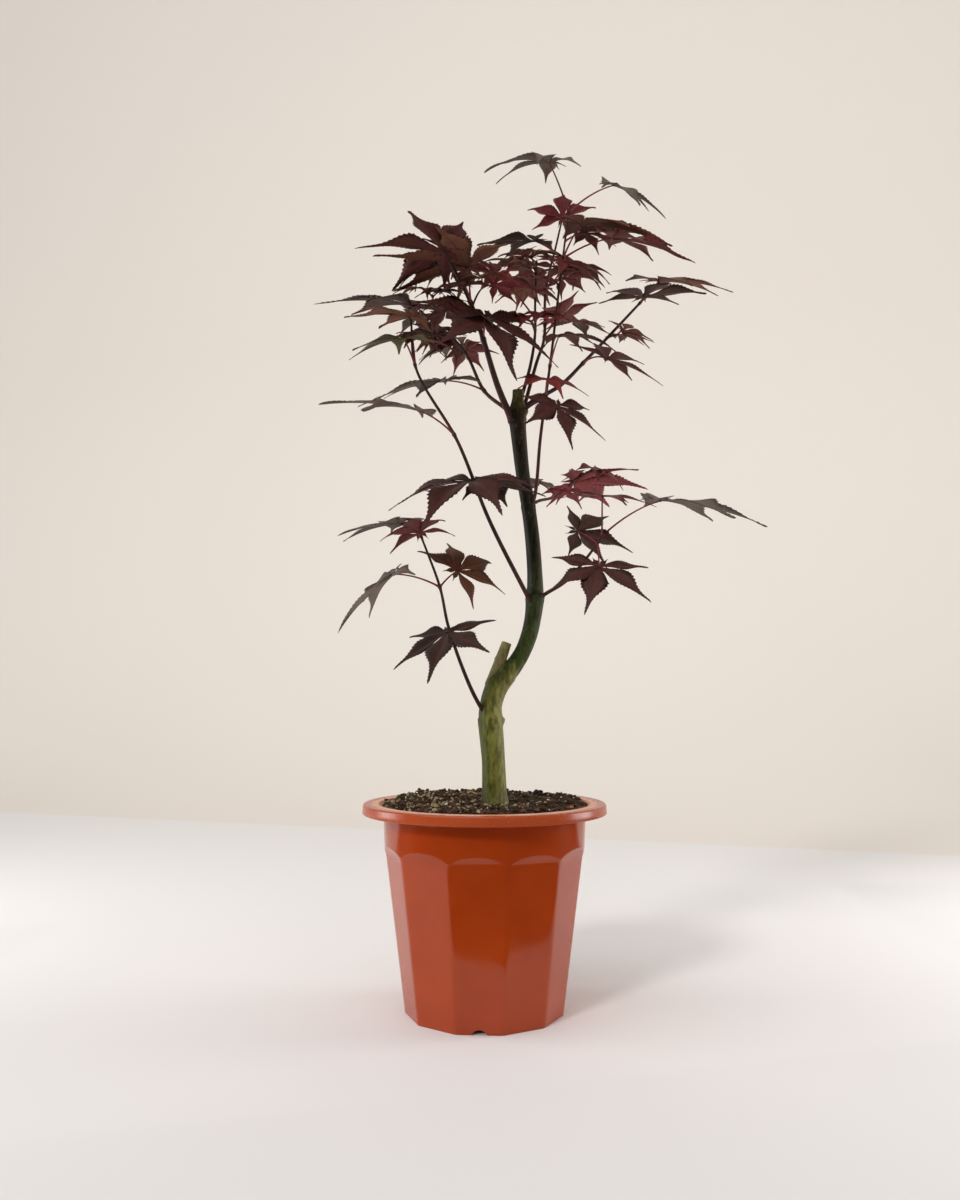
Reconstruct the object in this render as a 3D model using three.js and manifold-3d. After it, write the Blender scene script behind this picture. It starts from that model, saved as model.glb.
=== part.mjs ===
// A young Japanese maple with purple-red leaves, grown on a bent, once cut-back trunk in a moulded
// nursery pot. Millimetres, +Z up. The origin is the centre of the pot's flat underside, -Y is the
// front, from where the plant is seen, and +X is its right.

import * as THREE from 'three';
import { mergeVertices } from 'three/addons/utils/BufferGeometryUtils.js';
import Module from 'manifold-3d';

const wasm = await Module();
wasm.setup();

// Driving dimensions of the pot
const POT_HEIGHT = 180;
const RIM_RADIUS = 105;
const RIM_DEPTH = 8.5;
const RIM_EDGE = 2; // rounding
const LIP_RADIUS = 91; // inner edge of the flat lip
const COLLAR_RADIUS = 87; // under the rim
const COLLAR_TAPER = 6; // over the whole height
const SHOULDER_RADIUS = 85.8; // where the round collar gives way to the facets
const SHOULDER_HEIGHT = 148;
const FACET_HEIGHT = 138; // top of the long flat facets
const FACET_COUNT = 11;
const FACET_TOP_RADIUS = 85.3; // at the corners between facets
const BASE_RADIUS = 68.9; // at the corners between facets
const CORNER_ANGLE = 12.7; // degrees from the front to the first corner on the right
const WALL = 2.5;
const FLOOR = 6;
const DRAIN_FACETS = [0, 3, 6, 8]; // facets with a drain slot under them
const DRAIN_RADIUS = 7.2;
const DRAIN_RISE = 4.4;
const DRAIN_LENGTH = 20;
const DRAIN_HOLE_RADIUS = 4;

// Driving dimensions of the soil
const SOIL_LEVEL = 179;
const SOIL_EDGE_DROP = 2.5;
const SOIL_TOP_RADIUS = 86;
const SOIL_RINGS = [0.8, 0.58, 0.36, 0.17]; // rings of the lumpy top, shares of its radius
const SOIL_WAVES = [[1.0, 0.21, 0.13], [0.8, -0.12, 0.2], [0.7, 0.11, -0.17]]; // height, waves
const SOIL_MOUND = { x: -34, y: 22, height: 5, spread: 30 };
const SOIL_FLAT = [13, 30]; // flat to the first distance from the trunk, lumpy from the second
const SOIL_HEAP = { height: 4, reach: 14, middle: 12, half: 82 }; // mm, and degrees from the back

// The trunk: height, distance to the right, radius. It leans back 5 mm over its length.
const TRUNK_LINE = [
  [179.4, 8.2, 11.8], [186, 8.2, 10.7], [215, 7.6, 10.1], [233, 6.5, 10.6], [250, 5.2, 10.8],
  [263, 5.7, 9.7], [273, 8.1, 9.6], [281, 12.0, 9.4], [291, 19.6, 8.4], [300, 26.8, 7.1],
  [311, 33.2, 6.6], [325, 38.4, 6.8], [341, 41.8, 6.9], [356, 43.4, 7.9], [366, 43.7, 6.9],
  [380, 43.4, 6.5], [409, 41.2, 6.5], [437, 37.4, 6.3], [464, 32.8, 6.0], [492, 30.0, 6.4],
  [507, 28.8, 6.9], [516, 28.4, 8.0], [523, 28.8, 5.8], [529, 29.1, 4.7], [536, 29.2, 4.5],
];
const TRUNK_FRONT = -5; // its foot stands this far to the front
const TRUNK_BACK = 0; // and its tip here
const TRUNK_SIDES = 10;
const STUB_SIDES = 8;
const BOUGH_SIDES = 6;
const STEM_SIDES = 4;
const STUB = { from: [5.8, -3, 280], to: [19.3, -2, 318], foot: 6.2, tip: 4.2 };
const KNOTS = [
  { at: [7.5, -14.6, 249], size: [4.6, 2.2, 4.6] },
  { at: [16, -6, 251], size: [2.6, 3, 4] },
  { at: [22.5, -8, 514], size: [4, 4.5, 5] },
  { at: [34.5, -5, 518], size: [4, 4, 4.5] },
];

// Clearance between pieces that touch
const GAP = 0.3;


// Leaf rule: angle from the middle lobe in degrees and length as a share of it
const LOBES = [[-103, 0.72], [-52, 0.95], [0, 1], [52, 0.95], [103, 0.72]];
const LOBE_STATIONS = [[0.36, 0.14], [0.66, 0.12]]; // place and half width, shares of the length
const ANGLE_JITTER = 4; // degrees
const LENGTH_JITTER = 0.07;
const RIB_HEIGHT = 1.3; // of the midribs above the flat underside
const HUB_RISE = 1.6; // above and below the point where the lobes meet
const SINUS_REACH = 0.08; // of the leaf's length, between two lobes
const REAR_REACH = 0.04; // and behind the hub
const PETIOLE_RADIUS = 0.8;
const PETIOLE_BOW = 0.12; // of its length, upwards

// The shoots. Each leaves the trunk at the first point of its line and thins from foot to tip.
// Its bare lower part, up to the share `bare` of its length, is a bough, and the rest is the stem
// of a mass of leaves. Each leaf is [share of the shoot's length where it grows, petiole across,
// back and up, length of the middle lobe, heading in degrees from +X towards +Y, pitch, roll,
// droop of the lobes]. `young` small leaves are added by the seeded rule.
const SHOOTS = {
  low_left: {
    line: [[5, -6, 248], [-11, -14, 277], [-30, -28, 329], [-37, -36, 362], [-52, -45, 403]],
    foot: 1.9, tip: 0.9, bare: 0.47, young: 0, seed: 11,
    leaves: [
      [0.52, -1, -7, -2, 62, 252, -38, 12, 10],
      [0.74, -36, -24, 8, 66, 180, -40, -15, 20],
      [0.74, 14, 6, 14, 54, 45, 20, 45, 30],
      [1.0, -1, -2, 2, 44, 255, 15, 15, 40],
      [1.0, -18, -17, 8, 56, 205, -10, 0, 15],
    ],
  },
  mid_left: {
    line: [[43, -4, 346], [4, -34, 418], [-22, -54, 479], [-55, -64, 535], [-59, -66, 574]],
    foot: 2.0, tip: 0.9, bare: 0.4, young: 0, seed: 12,
    leaves: [
      [0.45, -4, -8, 2, 82, 236, -25, -5, 30],
      [0.45, 7, 4, 2, 56, 350, -8, 25, 15],
      [0.62, -29, -38, 10, 74, 192, 5, -15, 15],
      [0.86, -8, -16, 16, 50, 205, -20, -20, 20],
      [0.86, -3, 14, 27, 42, 15, -5, 30, 25],
      [1.0, 0, -2, 1, 54, 195, 0, -30, 15],
    ],
  },
  low_right: {
    line: [[43, -4, 347], [48, -6, 356], [70, -20, 370], [94, -38, 399], [97, -40, 404]],
    foot: 1.8, tip: 1.0, bare: 0.62, young: 0, seed: 13,
    leaves: [
      [0.92, -1, -22, -22, 58, 258, -45, -8, 12],
      [0.92, -16, 8, 11, 50, 345, -15, -30, 15],
      [1.0, -1, -10, 31, 48, 290, -12, 0, 20],
      [1.0, 55, 30, 35, 90, 355, -10, 8, 15],
    ],
  },
  back_low: {
    line: [[37, -3, 434], [46, 6, 441], [61, 30, 449], [79, 60, 465]],
    foot: 1.5, tip: 0.9, bare: 0, young: 1, seed: 14,
    leaves: [
      [1.0, 4, 6, 4, 78, 10, 4, -8, 18],
      [0.6, -14, 22, 16, 50, 160, 0, 0, 20],
    ],
  },
  tall_right: {
    line: [[37, -3, 426], [43, -6, 443], [48, -6, 494], [57, -6, 562], [65, -6, 630], [72, -8, 686]],
    foot: 1.6, tip: 0.8, bare: 0.46, young: 1, seed: 15,
    leaves: [
      [0.5, 6, -20, 18, 50, 5, 0, 15, 35],
      [0.85, 14, -18, 22, 80, 355, -10, 15, 15],
      [0.85, 39, -34, 3, 68, 350, -15, 15, 15],
      [0.85, -2, -29, -15, 48, 15, -5, 35, 35],
      [0.85, -24, 6, 18, 62, 165, 0, -15, 15],
      [1.0, -17, -10, 37, 62, 200, -5, -15, 35],
      [1.0, 41, 20, 33, 58, 0, -25, 25, 20],
    ],
  },
  back_left: {
    line: [[28, -2, 512], [17, 0, 521], [0, 10, 538], [-17, 20, 575], [-34, 24, 594], [-56, 26, 613]],
    foot: 1.8, tip: 0.9, bare: 0.24, young: 2, seed: 16,
    leaves: [
      [0.3, -34, 8, 11, 82, 195, -15, -15, 15],
      [0.6, -3, 26, 15, 42, 165, 20, -35, 40],
      [1.0, -9, -12, 2, 88, 195, 0, -15, 15],
      [1.0, -4, 2, 4, 42, 0, 5, 15, 20],
    ],
  },
  left_leader: {
    line: [[24, -4, 508], [11, -14, 536], [-1, -26, 571], [-12, -34, 600], [-24, -40, 622], [-34, -46, 638]],
    foot: 3.0, tip: 1.2, bare: 0.44, young: 1, seed: 17,
    leaves: [
      [0.48, 2, -18, 12, 80, 300, -50, 0, 15],
      [0.48, 1, -16, 13, 46, 185, 10, -25, 15],
      [0.69, -2, -4, 28, 78, 203, 4, 5, 15],
      [1.0, 14, 30, 10, 40, 150, 5, 15, 15],
      [1.0, 1, -14, -7, 76, 190, 5, 8, 20],
    ],
  },
  centre: {
    line: [[29, 0, 520], [40, 6, 560], [44, 8, 587], [44, 6, 612], [45, 2, 646]],
    foot: 1.7, tip: 0.8, bare: 0.44, young: 0, seed: 18,
    leaves: [
      [0.64, -35, -27, 28, 42, 220, 20, -15, 40],
      [0.78, -2, -14, 2, 40, 250, 5, -20, 35],
      [0.92, -9, -15, 2, 44, 200, 10, -15, 35],
    ],
  },
  back_centre: {
    line: [[32, 3, 514], [46, 24, 567], [54, 44, 596], [56, 52, 644], [65, 54, 682], [71, 54, 708]],
    foot: 1.8, tip: 0.8, bare: 0.42, young: 2, seed: 19,
    leaves: [
      [0.46, 14, 5, 18, 42, 290, 20, 15, 15],
      [0.52, 31, 42, 18, 46, 285, -35, 0, 20],
      [1.0, 0, -10, -4, 44, 265, 15, 0, 40],
    ],
  },
  right: {
    line: [[31, -2, 510], [36, 0, 522], [66, 6, 542], [86, 12, 563], [122, 22, 603], [155, 34, 641]],
    foot: 2.0, tip: 0.9, bare: 0.36, young: 0, seed: 20,
    leaves: [
      [0.43, 15, -50, -12, 52, 300, -15, -15, 15],
      [0.86, 2, -8, 2, 58, 285, -5, 5, 15],
      [1.0, 1, 0, 3, 74, 335, -12, 15, 15],
    ],
  },
  front_right: {
    line: [[30, -4, 514], [37, -8, 519], [51, -25, 523]],
    foot: 1.4, tip: 0.9, bare: 0, young: 0, seed: 21,
    leaves: [
      [1.0, 9, -18, -12, 50, 300, -55, 0, 15],
      [1.0, 1, -6, 13, 40, 290, -30, 0, 25],
    ],
  },
};

// Young leaves of the seeded rule
const YOUNG_PETIOLE = [12, 20];
const YOUNG_BLADE = [28, 40];
const YOUNG_SWING = 70; // degrees either side of straight out from the trunk

const COLOURS = {
  pot: 0xa8481f,
  soil: 0x3a2c22,
  trunk: 0x5d6238,
  bough: 0x3d2b26,
  foliage: [0x4a2026, 0x54272a, 0x472a28, 0x5c1f28],
};

const radians = THREE.MathUtils.degToRad;
const vector = (point) => new THREE.Vector3(...point);

// A repeatable stream of numbers between 0 and 1
function seeded(seed) {
  let state = seed;
  return () => {
    state = (Math.imul(state, 1664525) + 1013904223) >>> 0;
    return state / 2 ** 32;
  };
}

// Solids and meshes

function signedVolume(positions, triangles) {
  const [a, b, c] = [new THREE.Vector3(), new THREE.Vector3(), new THREE.Vector3()];
  let volume = 0;
  for (let i = 0; i < triangles.length; i += 3) {
    a.fromArray(positions, 3 * triangles[i]);
    b.fromArray(positions, 3 * triangles[i + 1]);
    c.fromArray(positions, 3 * triangles[i + 2]);
    volume += a.dot(b.cross(c)) / 6;
  }
  return volume;
}

// The closed geometry as a solid whose faces point out
function solid(geometry) {
  const bare = geometry.clone();
  bare.deleteAttribute('normal');
  bare.deleteAttribute('uv');
  const merged = mergeVertices(bare, 1e-4);
  const vertProperties = new Float32Array(merged.attributes.position.array);
  const triVerts = new Uint32Array(merged.index.array);
  if (signedVolume(vertProperties, triVerts) < 0) triVerts.reverse();
  return new wasm.Manifold(new wasm.Mesh({ numProp: 3, vertProperties, triVerts }));
}

const union = (solids) => solids.reduce((sum, next) => sum.add(next));

function mesh(name, body, colour, roughness) {
  const { vertProperties, triVerts } = body.getMesh();
  const geometry = new THREE.BufferGeometry();
  geometry.setAttribute('position', new THREE.BufferAttribute(new Float32Array(vertProperties), 3));
  geometry.setIndex(new THREE.BufferAttribute(new Uint32Array(triVerts), 1));
  geometry.computeVertexNormals();
  const material = new THREE.MeshStandardMaterial({ color: colour, roughness, metalness: 0 });
  const result = new THREE.Mesh(geometry, material);
  result.name = name;
  return result;
}

// A body turned about the vertical from [radius, height] points, with its first corner on the
// angle of the pot's corners
function turned(profile, segments) {
  const points = profile.map(([radius, height]) => new THREE.Vector2(radius, height));
  const geometry = new THREE.LatheGeometry(points, segments, radians(CORNER_ANGLE));
  return geometry.rotateX(Math.PI / 2);
}

// A round limb along a curve: a cylinder whose rings are moved onto the curve, with the radius
// given by a function of the share of the way along it
function limb(curve, radiusAt, sides, steps, evenly = true) {
  const geometry = new THREE.CylinderGeometry(1, 1, 1, sides, steps);
  const frames = curve.computeFrenetFrames(steps, false);
  const positions = geometry.attributes.position;
  const corner = new THREE.Vector3();
  for (let i = 0; i < positions.count; i++) {
    corner.fromBufferAttribute(positions, i);
    const step = Math.round((corner.y + 0.5) * steps);
    const share = step / steps;
    const centre = evenly ? curve.getPointAt(share) : curve.getPoint(share);
    const radius = radiusAt(share);
    centre.addScaledVector(frames.normals[step], corner.x * radius);
    centre.addScaledVector(frames.binormals[step], corner.z * radius);
    positions.setXYZ(i, centre.x, centre.y, centre.z);
  }
  return geometry;
}

// Pot

const FACET_STEP = 360 / FACET_COUNT;
const ROUND_SEGMENTS = 3 * FACET_COUNT;
const cornerRadius = (flatRadius) => flatRadius / Math.cos(radians(FACET_STEP / 2));

// Inner radius of the pot's wall at a height, taken from its flat facets
function innerRadius(height) {
  const flatAtBase = BASE_RADIUS * Math.cos(radians(FACET_STEP / 2));
  const flatAtTop = FACET_TOP_RADIUS * Math.cos(radians(FACET_STEP / 2));
  return THREE.MathUtils.mapLinear(height, 0, FACET_HEIGHT, flatAtBase, flatAtTop) - WALL;
}

function pot() {
  const clear = RIM_RADIUS + 10;
  const round = solid(turned([
    [0, 0], [COLLAR_RADIUS - COLLAR_TAPER, 0], [COLLAR_RADIUS, POT_HEIGHT - RIM_DEPTH],
    [RIM_RADIUS - RIM_EDGE, POT_HEIGHT - RIM_DEPTH],
    [RIM_RADIUS, POT_HEIGHT - RIM_DEPTH + RIM_EDGE], [RIM_RADIUS, POT_HEIGHT - RIM_EDGE],
    [RIM_RADIUS - RIM_EDGE, POT_HEIGHT], [0, POT_HEIGHT],
  ], ROUND_SEGMENTS));
  const facets = solid(turned([
    [0, 0], [BASE_RADIUS, 0], [FACET_TOP_RADIUS, FACET_HEIGHT],
    [cornerRadius(SHOULDER_RADIUS), SHOULDER_HEIGHT], [cornerRadius(clear), SHOULDER_HEIGHT + 2],
    [cornerRadius(clear), POT_HEIGHT + 1], [0, POT_HEIGHT + 1],
  ], FACET_COUNT));
  const inside = solid(turned([
    [0, FLOOR], [innerRadius(FLOOR), FLOOR], [innerRadius(FACET_HEIGHT), FACET_HEIGHT],
    [SHOULDER_RADIUS - WALL, SHOULDER_HEIGHT], [COLLAR_RADIUS - WALL, POT_HEIGHT - RIM_DEPTH],
    [LIP_RADIUS, POT_HEIGHT], [LIP_RADIUS, POT_HEIGHT + 1], [0, POT_HEIGHT + 1],
  ], ROUND_SEGMENTS));
  let body = round.intersect(facets).subtract(inside);
  for (const facet of DRAIN_FACETS) {
    body = body.subtract(drain(CORNER_ANGLE + FACET_STEP * (facet - 0.5)));
  }
  return body;
}

// An arched slot under the wall and the hole above its inner end
function drain(angle) {
  const outer = BASE_RADIUS + 4;
  const slot = new THREE.CylinderGeometry(DRAIN_RADIUS, DRAIN_RADIUS, DRAIN_LENGTH, 12);
  slot.translate(0, -(outer - DRAIN_LENGTH / 2), DRAIN_RISE - DRAIN_RADIUS);
  const hole = new THREE.CylinderGeometry(DRAIN_HOLE_RADIUS, DRAIN_HOLE_RADIUS, 4 * FLOOR, 8);
  hole.rotateX(Math.PI / 2);
  hole.translate(0, -(outer - DRAIN_LENGTH + DRAIN_HOLE_RADIUS), 0);
  slot.rotateZ(radians(angle));
  hole.rotateZ(radians(angle));
  return solid(slot).add(solid(hole));
}

// Soil

// Height of the soil above its level: small lumps, a mound behind on the left and a flat patch
// where the trunk stands
function soilRelief(x, y) {
  const { x: mx, y: my, height, spread } = SOIL_MOUND;
  const lumps = SOIL_WAVES.reduce((sum, [rise, waveX, waveY]) => (
    sum + rise * Math.sin(waveX * x + waveY * y)), 0);
  const mound = height * Math.exp(-((x - mx) ** 2 + (y - my) ** 2) / (2 * spread ** 2));
  const fromTrunk = Math.hypot(x - TRUNK_LINE[0][1], y - TRUNK_FRONT);
  return (lumps + mound) * THREE.MathUtils.smoothstep(fromTrunk, ...SOIL_FLAT);
}

// A low heap against the far side of the pot, which hides the lip there
function soilHeap(x, y) {
  const { height, reach, middle, half } = SOIL_HEAP;
  const bearing = (THREE.MathUtils.radToDeg(Math.atan2(x, y)) - middle) / half;
  const inward = (Math.hypot(x, y) - SOIL_TOP_RADIUS) / reach;
  return height * Math.exp(-(bearing ** 6) - inward ** 2);
}

function soil() {
  const edge = (height) => innerRadius(height) - GAP;
  const rings = SOIL_RINGS.map((share) => [share * SOIL_TOP_RADIUS, SOIL_LEVEL]);
  const geometry = turned([
    [0, FLOOR + GAP], [edge(FLOOR), FLOOR + GAP], [edge(FACET_HEIGHT), FACET_HEIGHT],
    [SHOULDER_RADIUS - WALL - GAP, SHOULDER_HEIGHT],
    [COLLAR_RADIUS - WALL - GAP, POT_HEIGHT - RIM_DEPTH],
    [SOIL_TOP_RADIUS, SOIL_LEVEL - SOIL_EDGE_DROP], ...rings, [0, SOIL_LEVEL],
  ], ROUND_SEGMENTS);
  const positions = geometry.attributes.position;
  for (let i = 0; i < positions.count; i++) {
    const [x, y, z] = [positions.getX(i), positions.getY(i), positions.getZ(i)];
    const relief = z > SOIL_LEVEL - GAP ? soilRelief(x, y) : 0;
    if (z > SOIL_LEVEL - SOIL_EDGE_DROP - GAP) positions.setZ(i, z + relief + soilHeap(x, y));
  }
  return solid(geometry);
}

// Trunk

function trunkCurve() {
  const [foot, tip] = [TRUNK_LINE[0][0], TRUNK_LINE.at(-1)[0]];
  const points = TRUNK_LINE.map(([height, across]) => new THREE.Vector3(
    across, THREE.MathUtils.mapLinear(height, foot, tip, TRUNK_FRONT, TRUNK_BACK), height));
  return new THREE.CatmullRomCurve3(points);
}

// The trunk with its knots and the stub of the cut leader, grown by `extra` all round
function trunk(extra = 0) {
  const last = TRUNK_LINE.length - 1;
  const trunkRadius = (share) => {
    const place = Math.min(share * last, last - 1e-6);
    const below = Math.floor(place);
    const [low, high] = [TRUNK_LINE[below][2], TRUNK_LINE[below + 1][2]];
    return THREE.MathUtils.lerp(low, high, place - below) + extra;
  };
  const main = limb(trunkCurve(), trunkRadius, TRUNK_SIDES, last, false);
  const stubLine = new THREE.LineCurve3(vector(STUB.from), vector(STUB.to));
  const stubRadius = (share) => THREE.MathUtils.lerp(STUB.foot, STUB.tip, share) + extra;
  const parts = [solid(main), solid(limb(stubLine, stubRadius, STUB_SIDES, 2))];
  for (const { at, size } of KNOTS) {
    const knot = new THREE.SphereGeometry(1, 6, 4);
    knot.scale(...size.map((half) => half + extra));
    parts.push(solid(knot.translate(...at)));
  }
  const body = union(parts);
  const foot = TRUNK_LINE[0][0] - extra;
  return body.trimByPlane([0, 0, 1], foot);
}

// Leaves

// The points of one lobe: at each station its right and left edge and its raised midrib, then
// the tip. The lobe bends down, away from the leaf's upper face.
function lobe(base, along, across, up, length, droop) {
  const line = lobeLine(base, along, up, length, droop);
  const stations = LOBE_STATIONS.map(([share, spread]) => {
    const { point, normal } = line(share);
    return {
      right: point.clone().addScaledVector(across, -spread * length),
      left: point.clone().addScaledVector(across, spread * length),
      rib: point.clone().addScaledVector(normal, RIB_HEIGHT),
    };
  });
  return { stations, tip: line(1).point };
}

// The faces of one lobe, ten above and six below, three points each
function lobeFaces({ stations: [near, far], tip }, top, bottom, right, left) {
  return [
    top, right, near.rib, right, near.right, near.rib,
    top, near.rib, left, near.rib, near.left, left,
    near.right, far.right, far.rib, near.right, far.rib, near.rib,
    near.rib, far.rib, far.left, near.rib, far.left, near.left,
    far.right, tip, far.rib, far.rib, tip, far.left,
    bottom, near.right, right, bottom, near.left, near.right, bottom, left, near.left,
    near.right, near.left, far.left, near.right, far.left, far.right,
    far.right, far.left, tip,
  ];
}

// The midline of a lobe: its slope turns evenly from slightly raised at the root to `droop` at
// the tip
function lobeLine(base, along, up, length, droop) {
  const slope = (share) => droop * (1.3 * share - 0.3);
  return (share) => {
    const point = base.clone();
    const pieces = 8;
    for (let i = 0; i < pieces; i++) {
      const angle = slope((share * (i + 0.5)) / pieces);
      point.addScaledVector(along, (Math.cos(angle) * share * length) / pieces);
      point.addScaledVector(up, (-Math.sin(angle) * share * length) / pieces);
    }
    const normal = up.clone().multiplyScalar(Math.cos(slope(share)));
    normal.addScaledVector(along, Math.sin(slope(share)));
    return { point, normal };
  };
}

// The palmate blade: one closed body whose lobes fan out from the hub
function blade(base, size, facing, pitch, roll, droop, random) {
  const [h, p, r] = [radians(facing), radians(pitch), radians(roll)];
  const forward = new THREE.Vector3(Math.cos(h) * Math.cos(p), Math.sin(h) * Math.cos(p), Math.sin(p));
  const level = new THREE.Vector3(-Math.sin(h), Math.cos(h), 0);
  const lift = forward.clone().cross(level);
  const side = level.clone().multiplyScalar(Math.cos(r)).addScaledVector(lift, Math.sin(r));
  const up = lift.clone().multiplyScalar(Math.cos(r)).addScaledVector(level, -Math.sin(r));
  const towards = (turn) => forward.clone().multiplyScalar(Math.cos(turn))
    .addScaledVector(side, Math.sin(turn));

  const lobes = LOBES.map(([angle, share]) => {
    const turn = radians(angle + ANGLE_JITTER * (2 * random() - 1));
    const length = size * share * (1 + LENGTH_JITTER * (2 * random() - 1));
    const across = towards(turn + Math.PI / 2);
    return lobe(base, towards(turn), across, up, length, radians(droop));
  });
  const gaps = LOBES.slice(1).map(([angle], i) => {
    const between = towards(radians((angle + LOBES[i][0]) / 2));
    return base.clone().addScaledVector(between, SINUS_REACH * size);
  });
  const rear = base.clone().addScaledVector(forward, -REAR_REACH * size);
  const top = base.clone().addScaledVector(up, HUB_RISE);
  const bottom = base.clone().addScaledVector(up, -HUB_RISE);
  const points = lobes.flatMap((each, i) => (
    lobeFaces(each, top, bottom, gaps[i - 1] ?? rear, gaps[i] ?? rear)));
  return solid(new THREE.BufferGeometry().setFromPoints(points));
}

// A leaf: its blade at the end of a bowed petiole
function leaf(node, petiole, shape, random) {
  const base = node.clone().add(petiole);
  const bow = petiole.length() * PETIOLE_BOW;
  const middle = node.clone().addScaledVector(petiole, 0.5).add(new THREE.Vector3(0, 0, bow));
  const stalk = new THREE.QuadraticBezierCurve3(node, middle, base);
  return solid(limb(stalk, () => PETIOLE_RADIUS, 3, 2)).add(blade(base, ...shape, random));
}

// Boughs and masses of leaves

// The stretch of a shoot between two shares of its length, as a curve of its own
class Stretch extends THREE.Curve {
  constructor(whole, from, to) {
    super();
    Object.assign(this, { whole, from, to });
  }

  getPoint(share, target = new THREE.Vector3()) {
    return target.copy(this.whole.getPointAt(THREE.MathUtils.lerp(this.from, this.to, share)));
  }
}

function stretch(shoot, curve, from, to, sides, steps) {
  const radiusAt = (share) => {
    const place = THREE.MathUtils.lerp(from, to, share);
    return THREE.MathUtils.lerp(shoot.foot, shoot.tip, place);
  };
  return solid(limb(new Stretch(curve, from, to), radiusAt, sides, steps));
}

function* rowsOfLeaves(shoot, random) {
  for (const [at, across, back, rise, ...shape] of shoot.leaves) {
    yield { at, petiole: new THREE.Vector3(across, back, rise), shape };
  }
  const [first, last] = [shoot.line[0], shoot.line.at(-1)];
  const outward = THREE.MathUtils.radToDeg(Math.atan2(last[1] - first[1], last[0] - first[0]));
  for (let i = 0; i < shoot.young; i++) {
    const at = THREE.MathUtils.lerp(Math.max(shoot.bare, 0.3) + 0.05, 0.95, random());
    const heading = outward + YOUNG_SWING * (2 * random() - 1);
    const reach = THREE.MathUtils.lerp(...YOUNG_PETIOLE, random());
    const size = THREE.MathUtils.lerp(...YOUNG_BLADE, random());
    const petiole = new THREE.Vector3(
      reach * Math.cos(radians(heading)), reach * Math.sin(radians(heading)), 0.5 * reach);
    yield { at, petiole, shape: [size, heading, -15, 0, 25] };
  }
}

// A mass: the stem and every leaf that keeps clear of the solids that are there already
function foliage(shoot, curve, stem, others) {
  const parts = [stem];
  const random = seeded(shoot.seed);
  for (const { at, petiole, shape } of rowsOfLeaves(shoot, random)) {
    const grown = leaf(curve.getPointAt(at), petiole, shape, random);
    if (others.every((other) => grown.minGap(other, 2 * GAP) > GAP)) parts.push(grown);
  }
  return union(parts);
}

// The whole plant

const plant = new THREE.Group();
const trunkBody = trunk();
const trunkSpace = trunk(GAP);
plant.add(mesh('pot', pot(), COLOURS.pot, 0.35));
plant.add(mesh('soil', soil(), COLOURS.soil, 1));
plant.add(mesh('trunk', trunkBody, COLOURS.trunk, 0.7));

const shoots = Object.entries(SHOOTS).map(([name, shoot]) => {
  const curve = new THREE.CatmullRomCurve3(shoot.line.map(vector));
  const start = shoot.bare === 0 ? 0 : shoot.bare + GAP / curve.getLength();
  return { name, shoot, curve, stem: stretch(shoot, curve, start, 1, STEM_SIDES, 5) };
});

const taken = [trunkBody];
for (const { name, shoot, curve } of shoots.filter((each) => each.shoot.bare > 0)) {
  const bough = stretch(shoot, curve, 0, shoot.bare, BOUGH_SIDES, 5).subtract(trunkSpace);
  taken.push(bough);
  plant.add(mesh(`bough_${name}`, bough, COLOURS.bough, 0.6));
}

shoots.forEach(({ name, shoot, curve, stem }, index) => {
  const otherStems = shoots.filter((each) => each.stem !== stem).map((each) => each.stem);
  const body = foliage(shoot, curve, stem, [...taken, ...otherStems]).subtract(trunkSpace);
  taken.push(body);
  const colour = COLOURS.foliage[index % COLOURS.foliage.length];
  plant.add(mesh(`foliage_${name}`, body, colour, 0.6));
});

export default plant;
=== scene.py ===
# %% [markdown]
# A young Japanese maple in its nursery pot
#
# The plant has purple-red leaves on thin shoots, which grow from a bent trunk that was cut back
# long ago. It stands in a moulded terracotta-coloured pot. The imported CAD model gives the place
# and size of everything. Here each piece is made again with the detail that the eye expects:
# toothed leaves with a fold and veins, bark with scars, loose grains of soil and a rounded pot.

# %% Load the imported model
import math

import bpy
import numpy as np
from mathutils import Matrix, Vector


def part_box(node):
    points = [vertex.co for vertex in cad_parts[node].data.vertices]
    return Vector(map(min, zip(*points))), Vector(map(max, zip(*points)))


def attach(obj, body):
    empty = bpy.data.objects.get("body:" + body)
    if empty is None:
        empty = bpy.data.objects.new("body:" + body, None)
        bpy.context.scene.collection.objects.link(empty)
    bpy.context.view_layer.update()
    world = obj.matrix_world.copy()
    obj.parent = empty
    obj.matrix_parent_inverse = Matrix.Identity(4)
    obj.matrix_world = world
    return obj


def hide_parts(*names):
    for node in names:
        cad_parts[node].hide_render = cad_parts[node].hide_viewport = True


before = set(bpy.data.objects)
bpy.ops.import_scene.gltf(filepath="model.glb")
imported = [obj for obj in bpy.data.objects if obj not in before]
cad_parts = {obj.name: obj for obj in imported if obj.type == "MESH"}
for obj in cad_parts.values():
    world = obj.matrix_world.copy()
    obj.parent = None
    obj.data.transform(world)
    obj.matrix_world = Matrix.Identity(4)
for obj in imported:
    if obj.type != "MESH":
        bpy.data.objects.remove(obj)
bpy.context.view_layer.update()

print("nodes:", ", ".join(sorted(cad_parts)))

# %% [markdown]
# Two helpers for surfaces
#
# Nearly every piece here is a stack of closed rings: a tube, a pot, a lobe of a leaf. So one
# function turns stacks of rings into faces, and one joins such skins into an object. Whole
# arrays do the work, because there are hundreds of thousands of points. Sizes are in
# millimetres until the mesh is filled.

# %% Skins and pieces
MM = 0.001


def unit(vectors):
    """Each vector divided by its own length."""
    return vectors / np.linalg.norm(vectors, axis=-1, keepdims=True)


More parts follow.
